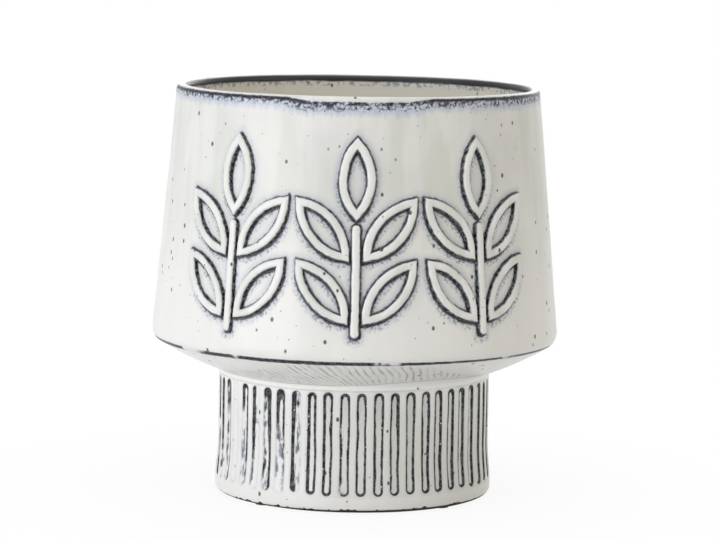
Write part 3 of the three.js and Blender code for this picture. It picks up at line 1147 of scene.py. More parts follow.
@dataclass(frozen=True)
class RaisedLine:
    """One raised line of glaze on the bowl's wall, a stem or the outline of a leaf."""

    name: str
    bowl: Bowl
    foot: float
    azimuth: float
    stations: list[Station]
    section: Sequence[Flat]
    hollow: bool
    wobble_grain: float = 11.0
    wobble: float = 0.35
    wobble_turn: float = 9.0
    near_margin: float = 7.0
    fine_grain: float = 1.2
    ragged_grain: float = 2.8
    dark_rise: float = 0.42

    def loop(self, across: float) -> np.ndarray:
        """Gives the line's flat points at a share of its half width."""
        points = [station.middle + station.reach * across for station in self.stations]
        return np.array([self.wobbled(point) for point in points])

    def wobbled(self, point: Vector) -> Vector:
        """Shifts a flat point a little, as a hand does."""
        seed = (point.x / self.wobble_grain, point.y / self.wobble_grain, self.azimuth * self.wobble_turn)
        shift = hand.noise_vector(Vector(seed))
        return point + Vector((shift.x, shift.y)) * self.wobble

    def on_wall(self, flat: np.ndarray, lift: float) -> np.ndarray:
        """Wraps flat points onto the wall.

        Args:
            flat: Distances across and up the wall from the sprig's foot.
            lift: Height off the wall.

        Returns:
            The places in millimetres.
        """
        height = self.foot + flat[:, 1] * math.cos(self.bowl.lean)
        radius = self.bowl.wall_radius(height)
        turn = self.azimuth + flat[:, 0] / radius
        out = radius + lift * math.cos(self.bowl.lean)
        up = height + lift * math.sin(self.bowl.lean)
        return on_circles(out, turn, up)

    def unwrapped(self, azimuth: np.ndarray, height: np.ndarray) -> np.ndarray:
        """Gives the flat points of places on the wall."""
        across = (azimuth - self.azimuth) * self.bowl.wall_radius(height)
        return np.stack([across, (height - self.foot) / math.cos(self.bowl.lean)], axis=1)

    def near(self, azimuth: np.ndarray, height: np.ndarray) -> np.ndarray:
        """Tells which places on the wall lie close to the line."""
        flat = self.unwrapped(azimuth, height)
        edge = self.loop(1.0)
        low = edge.min(axis=0) - self.near_margin
        high = edge.max(axis=0) + self.near_margin
        return np.all((flat > low) & (flat < high), axis=1)

    def gaps(self, azimuth: np.ndarray, height: np.ndarray) -> tuple[np.ndarray, np.ndarray]:
        """Measures from places on the wall to the line's edges.

        Args:
            azimuth: Angles of the places from the front.
            height: Heights of the places.

        Returns:
            The distances in millimetres, negative under the line, and how far each place is below its edge,
            from -1 to 1.
        """
        flat = self.unwrapped(azimuth, height)
        edges = [self.loop(1.0)]
        if self.hollow:
            edges.append(self.loop(-1.0))
        best = np.full(len(flat), np.inf)
        below = np.zeros(len(flat))
        covered = np.zeros(len(flat), bool)
        for edge in edges:
            for start, end in zip(edge, np.roll(edge, -1, axis=0)):
                side = end - start
                share = np.clip((flat - start) @ side / max(side @ side, WELD), 0, 1)
                away = flat - start - share[:, None] * side
                gap = np.linalg.norm(away, axis=1)
                closer = gap < best
                best[closer] = gap[closer]
                below[closer] = -away[closer, 1] / np.maximum(gap[closer], WELD)
                level = (start[1] > flat[:, 1]) != (end[1] > flat[:, 1])
                crossing = start[0] + (flat[:, 1] - start[1]) * side[0] / (side[1] or WELD)
                covered ^= level & (flat[:, 0] < crossing)
        sign = np.where(covered, -1, 1)
        return best * sign, below * sign

    def build(self) -> bpy.types.Object:
        """Lofts the line along its section and notes how far it rises.

        Returns:
            The line, its foot sunk a little into the wall.
        """
        loops = [self.on_wall(self.loop(across), lift) for across, lift in self.section]
        piece = lofted(f"{self.name}_line", loops)
        places = places_of(piece)
        height = places[:, 2]
        lift = (radii_of(places) - self.bowl.wall_radius(height)) * math.cos(self.bowl.lean)
        write_attribute(piece, "rise", np.clip(lift / max(lift), 0, 1))
        flat = self.unwrapped(azimuths_of(places), height)
        middles = np.array([station.middle for station in self.stations])
        away = flat - middles[np.linalg.norm(flat[:, None] - middles[None], axis=2).argmin(axis=1)]
        write_attribute(piece, "under", -away[:, 1] / np.maximum(np.linalg.norm(away, axis=1), WELD))
        return piece

    def marks(self, shader: Shader) -> Marks:
        """Gives the dark flanks of the line under its white back, with painted shade reaching further up the
        lower flank.
        """
        rise = shader.attribute("rise")
        widening = shader.smooth(shader.attribute("under"), *UNDER_SHADE_LEVELS)
        grain = shader.patches(self.fine_grain, *GRAIN_LEVELS)
        # Painted shade: on the lower flank the dark reaches further up.
        edge = self.dark_rise + shader.noise(self.ragged_grain) * 0.45 + widening * 0.14
        dark = (1 - shader.smooth(rise, edge - 0.16, edge + 0.14)) * (0.75 + grain * 0.25)
        halo = (1 - shader.smooth(rise, edge, edge + 0.25)) * 0.3
        return Marks(dark, halo)

    def dress(self, piece: bpy.types.Object, coat: Shader) -> None:
        """Gives the line its glaze, which all lines share, and puts it in the frame."""
        finished(piece, coat, Body.POT, self.name)


@dataclass(frozen=True)
class Sprig:
    """An upright sprig of two pairs of leaves and a top leaf, in raised lines."""

    bowl: Bowl
    number: int
    count: int = 3
    drop: float = 3.6
    gap: float = 3.0
    luting_gap: float = 0.3
    line_width: float = 4.2
    line_height: float = 1.85
    sunk: float = 0.7
    hair: float = 0.0004
    leaf_length: float = 30.0
    leaf_width: float = 11.5
    leaf_lean: float = math.radians(40)
    leaf_gap: float = 1.0
    pairs: int = 2
    first_pair: float = 8.0
    stem_top: float = 14.0
    side_steps: int = 20
    stem_steps: int = 24
    end_steps: int = 10
    point_steps: float = 2.2
    back: Sequence[Flat] = (
        (1.0, 0.0),
        (0.95, 0.24),
        (0.87, 0.48),
        (0.76, 0.69),
        (0.61, 0.86),
        (0.4, 0.97),
        (0.15, 1.0),
    )

    @property
    def half(self) -> float:
        """Half the width of a raised line."""
        return self.line_width / 2

    @property
    def arc_radius(self) -> float:
        """Radius of the two arcs of a leaf."""
        bulge = self.leaf_width / 2
        return ((self.leaf_length / 2) ** 2 + bulge**2) / (2 * bulge)

    @property
    def point_angle(self) -> float:
        """Angle between a leaf's side and its axis, at its points."""
        return math.asin(self.leaf_length / 2 / self.arc_radius)

    @property
    def point_reach(self) -> float:
        """How far a line reaches past its middle at a leaf's points."""
        return self.half / math.sin(self.point_angle)

    @property
    def leaf_set_off(self) -> float:
        """How far a side leaf starts from the middle of the stem."""
        reach = max(self.point_reach * math.sin(self.leaf_lean), self.half)
        return self.half + self.luting_gap + reach

    @property
    def pair_spacing(self) -> float:
        """Distance between pairs of leaves up the stem."""
        return (self.leaf_width + self.line_width + self.leaf_gap) / math.sin(self.leaf_lean)

    @property
    def stem_length(self) -> float:
        """Length of the stem."""
        return self.first_pair + (self.pairs - 1) * self.pair_spacing + self.stem_top

    @property
    def top_base(self) -> float:
        """Distance from the sprig's foot to the base of its top leaf."""
        return self.stem_length + self.luting_gap + self.point_reach

    @property
    def foot(self) -> float:
        """Height of the sprig's foot."""
        middle = (self.bowl.shoulder_height + self.bowl.lip_height) / 2
        length = self.top_base + self.leaf_length + self.point_reach
        return middle - self.drop - length / 2 * math.cos(self.bowl.lean)

    @property
    def azimuth(self) -> float:
        """Angle of the stem from the planter's front."""
        reach = (self.leaf_length + self.point_reach) * math.sin(self.leaf_lean)
        width = 2 * (self.leaf_set_off + reach) + self.gap
        pitch = width / self.bowl.wall_radius(self.foot + self.stem_length)
        return (self.number - (self.count + 1) / 2) * pitch

    def leaf(self, base: Vector, lean: float) -> list[Station]:
        """Draws a leaf from its base point, round its right side to its tip and back down its left side.

        Args:
            base: The base point on the flat sprig.
            lean: Angle from the stem.

        Returns:
            The stations of its closed line.
        """
        along = Vector((math.sin(lean), math.cos(lean)))
        right = Vector((along.y, -along.x))
        bulge = self.leaf_width / 2
        first = self.point_steps / self.side_steps
        stations = []
        for hand_side in (1, -1):
            point = base if hand_side == 1 else base + along * self.leaf_length
            stations.append(Station(point, along * (-hand_side * self.point_reach)))
            for step in range(self.side_steps + 1):
                share = first + (1 - 2 * first) * step / self.side_steps
                turn = hand_side * self.point_angle * (2 * share - 1)
                up = self.leaf_length / 2 + self.arc_radius * math.sin(turn)
                out = hand_side * (self.arc_radius * (math.cos(turn) - 1) + bulge)
                reach = along * math.sin(turn) + right * (hand_side * math.cos(turn))
                stations.append(Station(base + along * up + right * out, reach * self.half))
        return stations

    def stem(self) -> list[Station]:
        """Draws the stem, up its right side, round its end and down its left side.

        Returns:
            The stations of its closed edge.
        """
        low = self.half
        high = self.stem_length - self.half
        rises = [low + (high - low) * step / self.stem_steps for step in range(self.stem_steps + 1)]
        turns = [math.pi * step / self.end_steps for step in range(1, self.end_steps)]
        right = [Station(Vector((0, rise)), Vector((self.half, 0))) for rise in rises]
        left = [Station(Vector((0, rise)), Vector((-self.half, 0))) for rise in reversed(rises)]

        def end(rise: float, start: float) -> list[Station]:
            """Draws a round end that starts at an angle."""
            reaches = [Vector((math.cos(start + turn), math.sin(start + turn))) for turn in turns]
            return [Station(Vector((0, rise)), reach * self.half) for reach in reaches]

        return [*right, *end(high, 0.0), *left, *end(low, math.pi)]

    def section(self, hollow: bool) -> list[Flat]:
        """Gives the line's section as shares of its half width and heights off the wall.

        The two sides of a stem end a hair apart in its middle, so that they stay apart until they are
        merged.

        Args:
            hollow: True for a leaf, whose line has an inner side too.

        Returns:
            The section, which closes under the line.
        """
        outer = [(across, lift * self.line_height) for across, lift in self.back]
        foot = (1.0, -self.sunk)
        if not hollow:
            return [(self.hair, -self.sunk), foot, *outer, (self.hair, self.line_height)]
        inner = [(-across, lift) for across, lift in reversed(outer)]
        return [foot, *outer, *inner, (-1.0, -self.sunk), foot]

    def lines(self) -> list[RaisedLine]:
        """Draws every line of the sprig.

        Returns:
            The stem and the leaves, each named for the solid that it stands for.
        """

        def line(name: str, stations: list[Station], hollow: bool) -> RaisedLine:
            """Puts a line on the bowl's wall."""
            full_name = f"sprig_{self.number}_{name}"
            section = self.section(hollow)
            return RaisedLine(full_name, self.bowl, self.foot, self.azimuth, stations, section, hollow)

        drawn_lines = [line("stem", self.stem(), False)]
        for pair in range(self.pairs):
            up = self.first_pair + pair * self.pair_spacing
            for side, word in ((-1, "left"), (1, "right")):
                base = Vector((side * self.leaf_set_off, up))
                stations = self.leaf(base, side * self.leaf_lean)
                drawn_lines.append(line(f"leaf_{pair + 1}_{word}", stations, True))
        drawn_lines.append(line("leaf_top", self.leaf(Vector((0, self.top_base)), 0.0), True))
        return drawn_lines


@dataclass(frozen=True)
class Foot:
    """The narrower lower body, with flutes all round, a foot ring and a drained floor."""

    bowl: Bowl
    flare: float = 1.3
    flare_height: float = 24.0
    foot_round: float = 3.0
    top_round: float = 0.2
    ring_height: float = 0.6
    recess: float = 3.0
    ring_width: float = 8.0
    ring_chamfer: float = 1.0
    floor: float = 10.0
    floor_round: float = 5.0
    drain_radius: float = 7.0
    seam: float = 0.6
    flutes: int = 52
    flute_width: float = 3.8
    flute_depth: float = 0.8
    flute_wall: float = 1.2
    top_land: float = 0.4
    bottom_land: float = 7.4
    end_margin: float = 0.6
    low_margin: float = 0.4
    end_pitch: float = 0.4
    middle_pitch: float = 2.2
    heel_pitch: float = 1.0
    ring_pitch: float = 4.0
    inner_pitch: float = 9.0
    top_steps: int = 3
    heel_steps: int = 7
    floor_steps: int = 5
    drain_edge: float = 0.5
    off_flute: float = 9.0
    turn_slack: float = 1e-4
    under_margin: float = 0.6
    under_inset: float = 1.0
    inside_margin: float = 0.1
    fill_knots: int = 7
    open_range: Flat = (0.85, 1.05)
    narrow_range: Flat = (-0.15, 0.25)
    run_range: Flat = (0.3, 1.0)
    run_top: float = 0.2
    run_power: float = 1.6
    wash_range: Flat = (-0.6, 0.95)
    wash_sway: Flat = (-0.35, 0.35)
    filled_depth: float = 0.06
    least_depth: float = 0.03
    filled_azimuth: float = math.radians(-56)
    run_azimuth: float = math.radians(-42)
    run_spread: float = math.radians(40)
    seed: int = 11
    hand_sway: float = 0.2
    swell_grain: float = 26.0
    swell_depth: float = 0.25
    weight_steps: int = 200
    edge_columns: Sequence[float] = (-1.3, -0.9, -0.65, -0.45, -0.25, -0.08, 0.1, 0.3, 0.5, 0.75, 1.1)

    @property
    def top(self) -> float:
        """Height of the foot's upper face."""
        return self.bowl.base - self.seam

    @property
    def pitch(self) -> float:
        """Distance between flutes, round the foot."""
        return FULL_TURN * self.bowl.foot_radius / self.flutes

    @property
    def base(self) -> float:
        """Height of the recess under the floor."""
        return self.ring_height + self.recess

    @property
    def heel(self) -> float:
        """Height where the outer face runs into the round of the foot ring."""
        return self.ring_height + self.foot_round

    @property
    def ring_outer(self) -> float:
        """Outer radius of the face that the foot ring stands on."""
        return self.bowl.foot_radius + self.flare - self.foot_round

    @property
    def flute_ends(self) -> Flat:
        """Heights of the flutes' lower and upper ends."""
        return self.ring_height + self.bottom_land, self.top - self.top_land

    def side(self, height: float) -> Vector:
        """Gives the outer face at a height."""
        share = (self.flare_height - height) / (self.flare_height - self.heel)
        return Vector((self.bowl.foot_radius + self.flare * eased(share), height))

    def face(self, start: float, finish: float, pitch: float) -> list[Vector]:
        """Gives points down the outer face, from one height to another."""
        steps = max(1, math.ceil((start - finish) / pitch))
        return [self.side(start + (finish - start) * i / steps) for i in range(steps + 1)]

    def outline(self) -> list[Vector]:
        """Draws the closed outline, from the top down the outside and up the inside.

        Returns:
            The radius and height of its points.
        """
        low, high = self.flute_ends
        end = self.flute_width / 2 + self.end_margin
        last = low - self.low_margin
        top_inner = Vector((self.bowl.neck_radius, self.top))
        top_outer = Vector((self.bowl.foot_radius, self.top))
        waist = Vector((self.bowl.foot_radius, self.flare_height))
        ring_outer = Vector((self.ring_outer, self.ring_height))
        ring_inner = Vector((self.ring_outer - self.ring_width, self.ring_height))
        drain_base = Vector((self.drain_radius, self.base))
        drain_top = Vector((self.drain_radius, self.floor))
        floor_corner = Vector((self.bowl.neck_radius, self.floor))
        out = Vector((self.drain_edge, 0))
        up = Vector((0, self.drain_edge))
        floor_round = rounded(drain_top, floor_corner, top_inner, self.floor_round, self.floor_steps)
        return drawn(
            [
                top_inner,
                *rounded(top_inner, top_outer, waist, self.top_round, self.top_steps),
                *self.face(self.top - self.top_round, high - end, self.end_pitch),
                *self.face(high - end, low + end, self.middle_pitch),
                *self.face(low + end, last, self.end_pitch),
                *self.face(last, self.heel, self.heel_pitch),
                *arc(Vector((self.ring_outer, self.heel)), self.foot_round, 0, -math.pi / 2, self.heel_steps),
                *run(ring_outer, ring_inner, self.ring_pitch),
                Vector((ring_inner.x - self.ring_chamfer, self.base)),
                drain_base + out,
                drain_base + up,
                *run(drain_top - up, drain_top + out, 2 * self.drain_edge),
                *floor_round,
                *run(floor_round[-1], top_inner, self.inner_pitch),
            ]
        )

    def build(self) -> bpy.types.Object:
        """Spins the foot, crowds its columns to the flutes' walls and sinks the flutes.

        Returns:
            The foot.
        """
        half = [0.0, *(self.flute_width / 2 + away for away in self.edge_columns), self.pitch / 2]
        knots = [-x for x in reversed(half[1:])] + half
        per_flute = len(knots) - 1
        piece = spun("foot_glazed", self.outline(), self.flutes * per_flute)
        places = places_of(piece)
        radius = radii_of(places)
        height = places[:, 2]
        turn = azimuths_of(places) / FULL_TURN * self.flutes
        flute = np.floor(turn + self.turn_slack)
        across = np.interp((turn - flute) * per_flute, np.arange(per_flute + 1), knots)
        azimuth = (flute + 0.5 + across / self.pitch) / self.flutes * FULL_TURN
        move_vertices(piece, on_circles(radius, azimuth, height))

        outside = (radius > self.bowl.foot_radius - self.top_round) & (height > self.ring_height)
        index = (flute % self.flutes).astype(int)
        fill, slack, cover = self.glaze_fill(index, height, across > 0)
        draw = np.random.default_rng(self.seed + 1)
        sway = draw.normal(0, self.hand_sway, (3, self.flutes))[:, index]
        reach = self.flute_width / 2
        low, high = self.flute_ends
        past_low = low + reach + 2 * np.abs(sway[1]) - height
        past_high = height - high + reach + np.abs(sway[2])
        past = np.maximum(np.maximum(past_low, past_high), 0)
        edge = np.hypot(across - sway[0], past) - reach + slack
        write_attribute(piece, "flute_edge", np.where(outside, edge, self.off_flute))
        write_attribute(piece, "flute_depth", fill)
        write_attribute(piece, "flute_cover", cover)
        under = height < self.base + self.under_margin
        under &= radius < self.bowl.foot_radius - self.under_inset
        write_attribute(piece, "under", under.astype(float))
        inside = height > self.floor - self.inside_margin
        inside &= radius < self.bowl.neck_radius + self.inside_margin
        write_attribute(piece, "inside", inside.astype(float))
        self.sink(piece, eased(0.5 - edge / self.flute_wall) * fill * outside)
        roughen(piece, self.swell_grain, self.swell_depth)
        return piece

    def sink(self, piece: bpy.types.Object, shares: np.ndarray) -> None:
        """Sinks each vertex of the foot by its share of the flutes' depth."""
        group = piece.vertex_groups.new(name="flutes")
        levels = np.round(shares * self.weight_steps).astype(int)
        for level in range(1, self.weight_steps + 1):
            group.add(np.flatnonzero(levels == level).tolist(), level / self.weight_steps, "REPLACE")
        depth = self.flute_depth * MM
        apply_modifier(piece, "DISPLACE", vertex_group=group.name, strength=-depth, mid_level=0.0)
        piece.vertex_groups.clear()

    def glaze_fill(
        self, flute: np.ndarray, height: np.ndarray, right: np.ndarray
    ) -> tuple[np.ndarray, np.ndarray, np.ndarray]:
        """Tells how open each flute is, because the glaze runs into some of them.

        Args:
            flute: Number of the flute, counted from the front.
            height: Height in it.
            right: True on the right side of its middle.

        Returns:
            The share of its depth that is left, how much narrower it is, in millimetres, and how far white
            glaze covers that side's dark wall, from 0 to 1.
        """
        draw = np.random.default_rng(self.seed)
        table = (self.flutes, self.fill_knots)
        sides = (self.flutes, 2)
        open_share = draw.uniform(*self.open_range, table)
        narrow = draw.uniform(*self.narrow_range, table)
        azimuth = (np.arange(self.flutes) + 0.5) / self.flutes * FULL_TURN
        azimuth = np.where(azimuth > math.pi, azimuth - FULL_TURN, azimuth)
        left = np.exp(-(((azimuth - self.run_azimuth) / self.run_spread) ** 2))
        fading = np.linspace(1, self.run_top, self.fill_knots) ** self.run_power
        open_share -= draw.uniform(*self.run_range, table) * fading * left[:, None]
        filled = np.abs(azimuth - self.filled_azimuth).argmin()
        open_share[filled, :-1] = self.filled_depth
        wash = draw.uniform(*self.wash_range, (*sides, 1))
        wash = wash + draw.uniform(*self.wash_sway, (*sides, self.fill_knots))
        wash = np.clip(wash * left[:, None, None], 0, 1).reshape(-1, self.fill_knots)
        level = np.clip(height / self.top, 0, 1) * (self.fill_knots - 1)
        lower = np.minimum(level.astype(int), self.fill_knots - 2)
        share = level - lower

        def read(knots: np.ndarray, row: np.ndarray) -> np.ndarray:
            """Reads rows of knots at the heights."""
            return knots[row, lower] * (1 - share) + knots[row, lower + 1] * share

        opening = np.clip(read(open_share, flute), self.least_depth, 1)
        return opening, read(narrow, flute), read(wash, 2 * flute + right)

    def dress(self, piece: bpy.types.Object, glaze: Glaze) -> None:
        """Glazes the foot and puts it in the frame."""
        coat = glaze.coat("foot", FootMarks(self).marks)
        finished(piece, coat, Body.POT, "fluted_foot")


@dataclass(frozen=True)
class FootMarks:
    """Where the foot's glaze breaks dark along the flutes, pools, runs white and leaves the clay bare, and
    where light and shade are painted on it.

    A field that ends in side is the stretch over which a change sets in from left to right, in millimetres.
    """

    foot: Foot
    ragged_waves: Flat = (0.5, 0.2)
    pool_waves: Flat = (0.13, 0.03)
    fine_grain: float = 1.6
    crown: Flat = (1.4, 4.2)
    shaded_top: Flat = (3.0, 20.0)
    heavy_side: Flat = (-36.0, 4.0)
    wider_side: Flat = (20.0, 50.0)
    dark_inside: float = 0.62
    dark_outside: float = 0.1
    white_specks: Speck = (2.1, 0.42, 1.2)
    chip_grain: float = 3.0
    bare_height: float = 1.45
    bare_side: Flat = (-40.0, 20.0)

    def marks(self, shader: Shader) -> Marks:
        """Gives the dark walls of the flutes, the bare clay of the foot ring, painted shade in the flutes and
        painted light on the foot.
        """
        edge = shader.attribute("flute_edge")
        cover = shader.attribute("flute_cover")
        height = shader.axis("Z")
        drop = self.foot.top - height
        heavy = 1 - shader.smooth(shader.axis("X"), *self.heavy_side)
        ragged = shader.streaks(self.ragged_waves)
        worn = shader.attribute("flute_depth") - cover * 0.75 + (ragged - 0.5) * 0.6
        sunk = 1 - shader.smooth(edge, -1.0, -0.3)
        bare, dark_heel = self.bare_clay(shader, height)
        grain = 0.88 + shader.patches(self.fine_grain, *GRAIN_LEVELS) * 0.12
        sparkle = 1 - shader.specks(*self.white_specks) * 0.8
        inner = self.inner_edge(shader, drop, heavy, cover, ragged)
        wall = shader.band(edge, inner, self.dark_outside + ragged * 0.2, 0.14)
        dark = wall * shader.smooth(worn, 0.35, 0.6) * grain * sparkle
        navy_tint = shader.band(edge, -2.0, 0.2, 0.7) * shader.band(worn, 0.25, 0.6, 0.12)
        navy_tint = navy_tint * shader.smooth(ragged, 0.44, 0.6) * 0.85
        # Painted shade inside the flutes, stronger near the foot's top under the bowl and weaker on the left.
        darkening = 0.03 + (1 - shader.smooth(drop, *self.shaded_top)) * 0.14
        # Painted light on the band below the flutes, which lies in the bowl's shade.
        plain_top = self.foot.bottom_land
        plain = 1 - shader.smooth(height, plain_top - 1.0, plain_top + 2.0)
        return Marks(
            dark.most(dark_heel * 0.85),
            shader.band(edge, -0.6, 1.1, 0.6) * ragged * 0.4,
            # Whiter glaze all round, and whiter still on the left, partly from heavy glaze and partly as
            # painted light. The flutes' floors on the right are left greyer as painted shade.
            thick_and_lit=(0.45 + heavy * 0.45 - sunk * (1 - heavy) * 0.2).most(plain * 0.8),
            thin=shader.attribute("inside"),
            navy_tint=navy_tint.most(sunk * darkening * (1 - heavy * 0.7)),
            bare=bare,
        )

    def inner_edge(self, shader: Shader, drop: Value, heavy: Value, cover: Value, ragged: Value) -> Value:
        """Tells how far into a flute its dark wall reaches.

        Args:
            shader: The foot's material.
            drop: Distance below the foot's top.
            heavy: Is 1 on the left, where the glaze is heavy.
            cover: How far white glaze covers the wall.
            ragged: Noise that wears the edges.

        Returns:
            The distance from the flute's edge in millimetres, negative inside.
        """
        crown = (1 - shader.smooth(drop, *self.crown)) * 0.5
        pools = shader.smooth(shader.streaks(self.pool_waves), 0.5, 0.72)
        widening = crown + pools * (0.5 + heavy * 1.6)
        wider = shader.smooth(shader.axis("X"), *self.wider_side) * 0.3
        inner = -self.dark_inside - wider - heavy * (0.6 - cover)
        return inner - shader.smooth(ragged, 0.4, 0.7) * 0.25 - widening

    def bare_clay(self, shader: Shader, height: Value) -> tuple[Value, Value]:
        """Leaves the foot ring bare up to a chipped line.

        Args:
            shader: The foot's material.
            height: Height of the place.

        Returns:
            The bare clay, and a dark band over its outer face at the bottom.
        """
        under = shader.attribute("under")
        chips = shader.patches(self.chip_grain, 0.5, 0.7, 3.0)
        line = self.bare_height + chips * 0.8 + shader.smooth(shader.axis("X"), *self.bare_side) * 0.4
        bare = (1 - shader.smooth(height, line, line + 0.3)).most(under)
        return bare, shader.band(height, 0.0, line + 0.3, 0.2) * (1 - under)


@dataclass(frozen=True)
class LutingSeam:
    """The thin ring of slip between the foot and the bowl."""

    bowl: Bowl
    foot: Foot
    set_back: float = 0.14
    overlap: float = 0.25
    edge: float = 0.2
    edge_steps: int = 3
    columns: int = 360
    grain: float = 4.0

    def build(self) -> bpy.types.Object:
        """Spins the ring with a rounded outer edge.

        Returns:
            The ring.
        """
        inner = self.bowl.neck_radius
        outer = self.bowl.foot_radius - self.set_back
        low = self.foot.top - self.overlap
        high = self.bowl.base + self.overlap
        corners = [Vector((outer, low)), Vector((outer, high))]
        ends = [Vector((inner, low)), Vector((inner, high))]
        outline = [
            ends[0],
            *rounded(ends[0], corners[0], corners[1], self.edge, self.edge_steps),
            *rounded(corners[0], corners[1], ends[1], self.edge, self.edge_steps),
            ends[1],
            ends[0],
        ]
        return spun("luting_seam_glazed", drawn(outline), self.columns)

    def marks(self, shader: Shader) -> Marks:
        """Gives a faint blue line along the seam."""
        ragged = shader.noise(self.grain, 3.0)
        return Marks(shader.smooth(ragged, 0.6, 0.8) * 0.2, shader.smooth(ragged, 0.4, 0.8) * 0.3)

    def dress(self, piece: bpy.types.Object, glaze: Glaze) -> None:
        """Glazes the seam and puts it in the frame."""
        finished(piece, glaze.coat("seam", self.marks), Body.POT, "luting_seam")


@dataclass(frozen=True)
class DrainPlug:
    """The silicone stopper in the drain, with a knob to lift it by."""

    foot: Foot
    clearance: float = 0.3
    taper: float = 0.5
    stand_off: float = 0.9
    flange_radius: float = 13.0
    flange: float = 2.4
    neck_radius: float = 3.4
    neck: float = 2.6
    knob_radius: float = 5.2
    knob: float = 3.0
    end_dip: float = 0.4
    end_land: float = 1.2
    end_edge: float = 0.5
    taper_steps: int = 4
    undercut: Flat = (0.4, 0.3)
    flange_edge: Round = (0.3, 3)
    edge: Round = (0.7, 5)
    neck_foot_round: Round = (0.9, 5)
    neck_top_round: Round = (0.6, 4)
    knob_foot_round: Round = (0.6, 4)
    knob_top_round: Round = (1.2, 6)
    groove: Sequence[Flat] = ((2.0, 0.0), (2.4, 0.4), (3.2, 0.4), (3.6, 0.0))
    dimple: Sequence[Flat] = ((2.6, 0.1), (1.3, 0.45), (0.0, 0.55))
    columns: int = 96

    def build(self) -> bpy.types.Object:
        """Spins the plug, with a tapering stopper, a groove in its flange and a dimple in its knob.

        Returns:
            The plug.
        """
        low = self.foot.base + self.stand_off
        stopper = Vector((self.foot.drain_radius - self.clearance, self.foot.floor))
        tip = Vector((stopper.x - self.taper, low))
        flange_foot = Vector((self.flange_radius, stopper.y))
        flange_top = Vector((self.flange_radius, stopper.y + self.flange))
        neck_foot = Vector((self.neck_radius, flange_top.y))
        neck_top = Vector((self.neck_radius, flange_top.y + self.neck))
        knob_foot = Vector((self.knob_radius, neck_top.y))
        knob_top = Vector((self.knob_radius, neck_top.y + self.knob))
        middle = Vector((0, knob_top.y))
        outline = [
            Vector((0, low + self.end_dip)),
            tip + Vector((-self.end_land, self.end_dip)),
            tip - Vector((self.end_edge, 0)),
            *(tip.lerp(stopper, step / self.taper_steps) for step in range(self.taper_steps)),
            stopper - Vector(self.undercut),
            stopper,
            *rounded(stopper, flange_foot, flange_top, *self.flange_edge),
            *rounded(flange_foot, flange_top, neck_foot, *self.edge),
            *(flange_top - Vector(step) for step in self.groove),
            *rounded(flange_top, neck_foot, neck_top, *self.neck_foot_round),
            *rounded(neck_foot, neck_top, knob_foot, *self.neck_top_round),
            *rounded(neck_top, knob_foot, knob_top, *self.knob_foot_round),
            *rounded(knob_foot, knob_top, middle, *self.knob_top_round),
            *(middle + Vector((radius, -depth)) for radius, depth in self.dimple),
        ]
        return spun("drain_plug_moulded", drawn(outline), self.columns)

    def dress(self, piece: bpy.types.Object, silicone: Silicone) -> None:
        """Gives the plug its silicone and puts it in the frame."""
        finished(piece, silicone.coat(), Body.PLUG, "drain_plug")


@dataclass(frozen=True)
class FeltPads:
    """The round felt pads under the foot ring."""

    foot: Foot
    count: int = 4
    radius: float = 3.6
    thickness: float = 0.6
    sides: int = 40
    bevel: float = 0.18
    bevel_steps: int = 3
    cuts: int = 3
    fuzz_waves: float = 1.7
    fuzz_spread: float = 0.035
    fuzz_press: float = 0.08

    def build(self, number: int) -> bpy.types.Object:
        """Cuts one pad from a disc, with soft edges and a pressed surface.

        Args:
            number: Number of the pad, from 1.

        Returns:
            The pad.
        """
        circle = self.foot.ring_outer - self.foot.ring_width / 2
        turn = (number - 0.5) / self.count * FULL_TURN
        place = Vector((circle * math.cos(turn), circle * math.sin(turn), self.thickness / 2))
        deselect()
        bpy.ops.mesh.primitive_cylinder_add(
            vertices=self.sides,
            radius=self.radius * MM,
            depth=self.thickness * MM,
            end_fill_type="TRIFAN",
            location=place * MM,
        )
        piece = bpy.context.object
        piece.name = f"pad_{number}_felt"
        bpy.ops.object.transform_apply(location=True, rotation=True, scale=True)
        width = self.bevel * MM
        apply_modifier(piece, "BEVEL", width=width, segments=self.bevel_steps, limit_method="ANGLE")
        bpy.ops.object.mode_set(mode="EDIT")
        bpy.ops.mesh.select_all(action="SELECT")
        bpy.ops.mesh.subdivide(number_cuts=self.cuts)
        close_surface()
        places = places_of(piece)
        fuzz = np.array([hand.noise(Vector(spot) * self.fuzz_waves) for spot in places])
        middle = np.array(place)
        spread = places - middle
        spread[:, :2] *= (1 + self.fuzz_spread * fuzz)[:, None]
        spread[:, 2] *= 1 - self.fuzz_press * np.abs(fuzz)
        move_vertices(piece, middle + spread)
        return piece

    def dress(self, piece: bpy.types.Object, number: int, coat: Shader) -> None:
        """Gives a pad its felt, which all pads share, and puts it in the frame."""
        finished(piece, coat, Body.POT, f"pad_{number}")


@dataclass(frozen=True)
class Lamp:
    """A soft rectangular lamp that points at the planter."""

    name: str
    place: tuple[float, float, float]
    width: float
    height: float
    power: float
    colour: tuple[float, float, float]

    def build(self, target: Vector) -> None:
        """Hangs the lamp, pointing at the target."""
        light = bpy.data.lights.new(self.name, "AREA")
        light.shape = "RECTANGLE"
        light.size = self.width
        light.size_y = self.height
        light.energy = self.power
        light.color = self.colour
        lamp = bpy.data.objects.new(self.name, light)
        lamp.location = self.place
        lamp.rotation_euler = (target - lamp.location).to_track_quat("-Z", "Y").to_euler()
        bpy.context.scene.collection.objects.link(lamp)


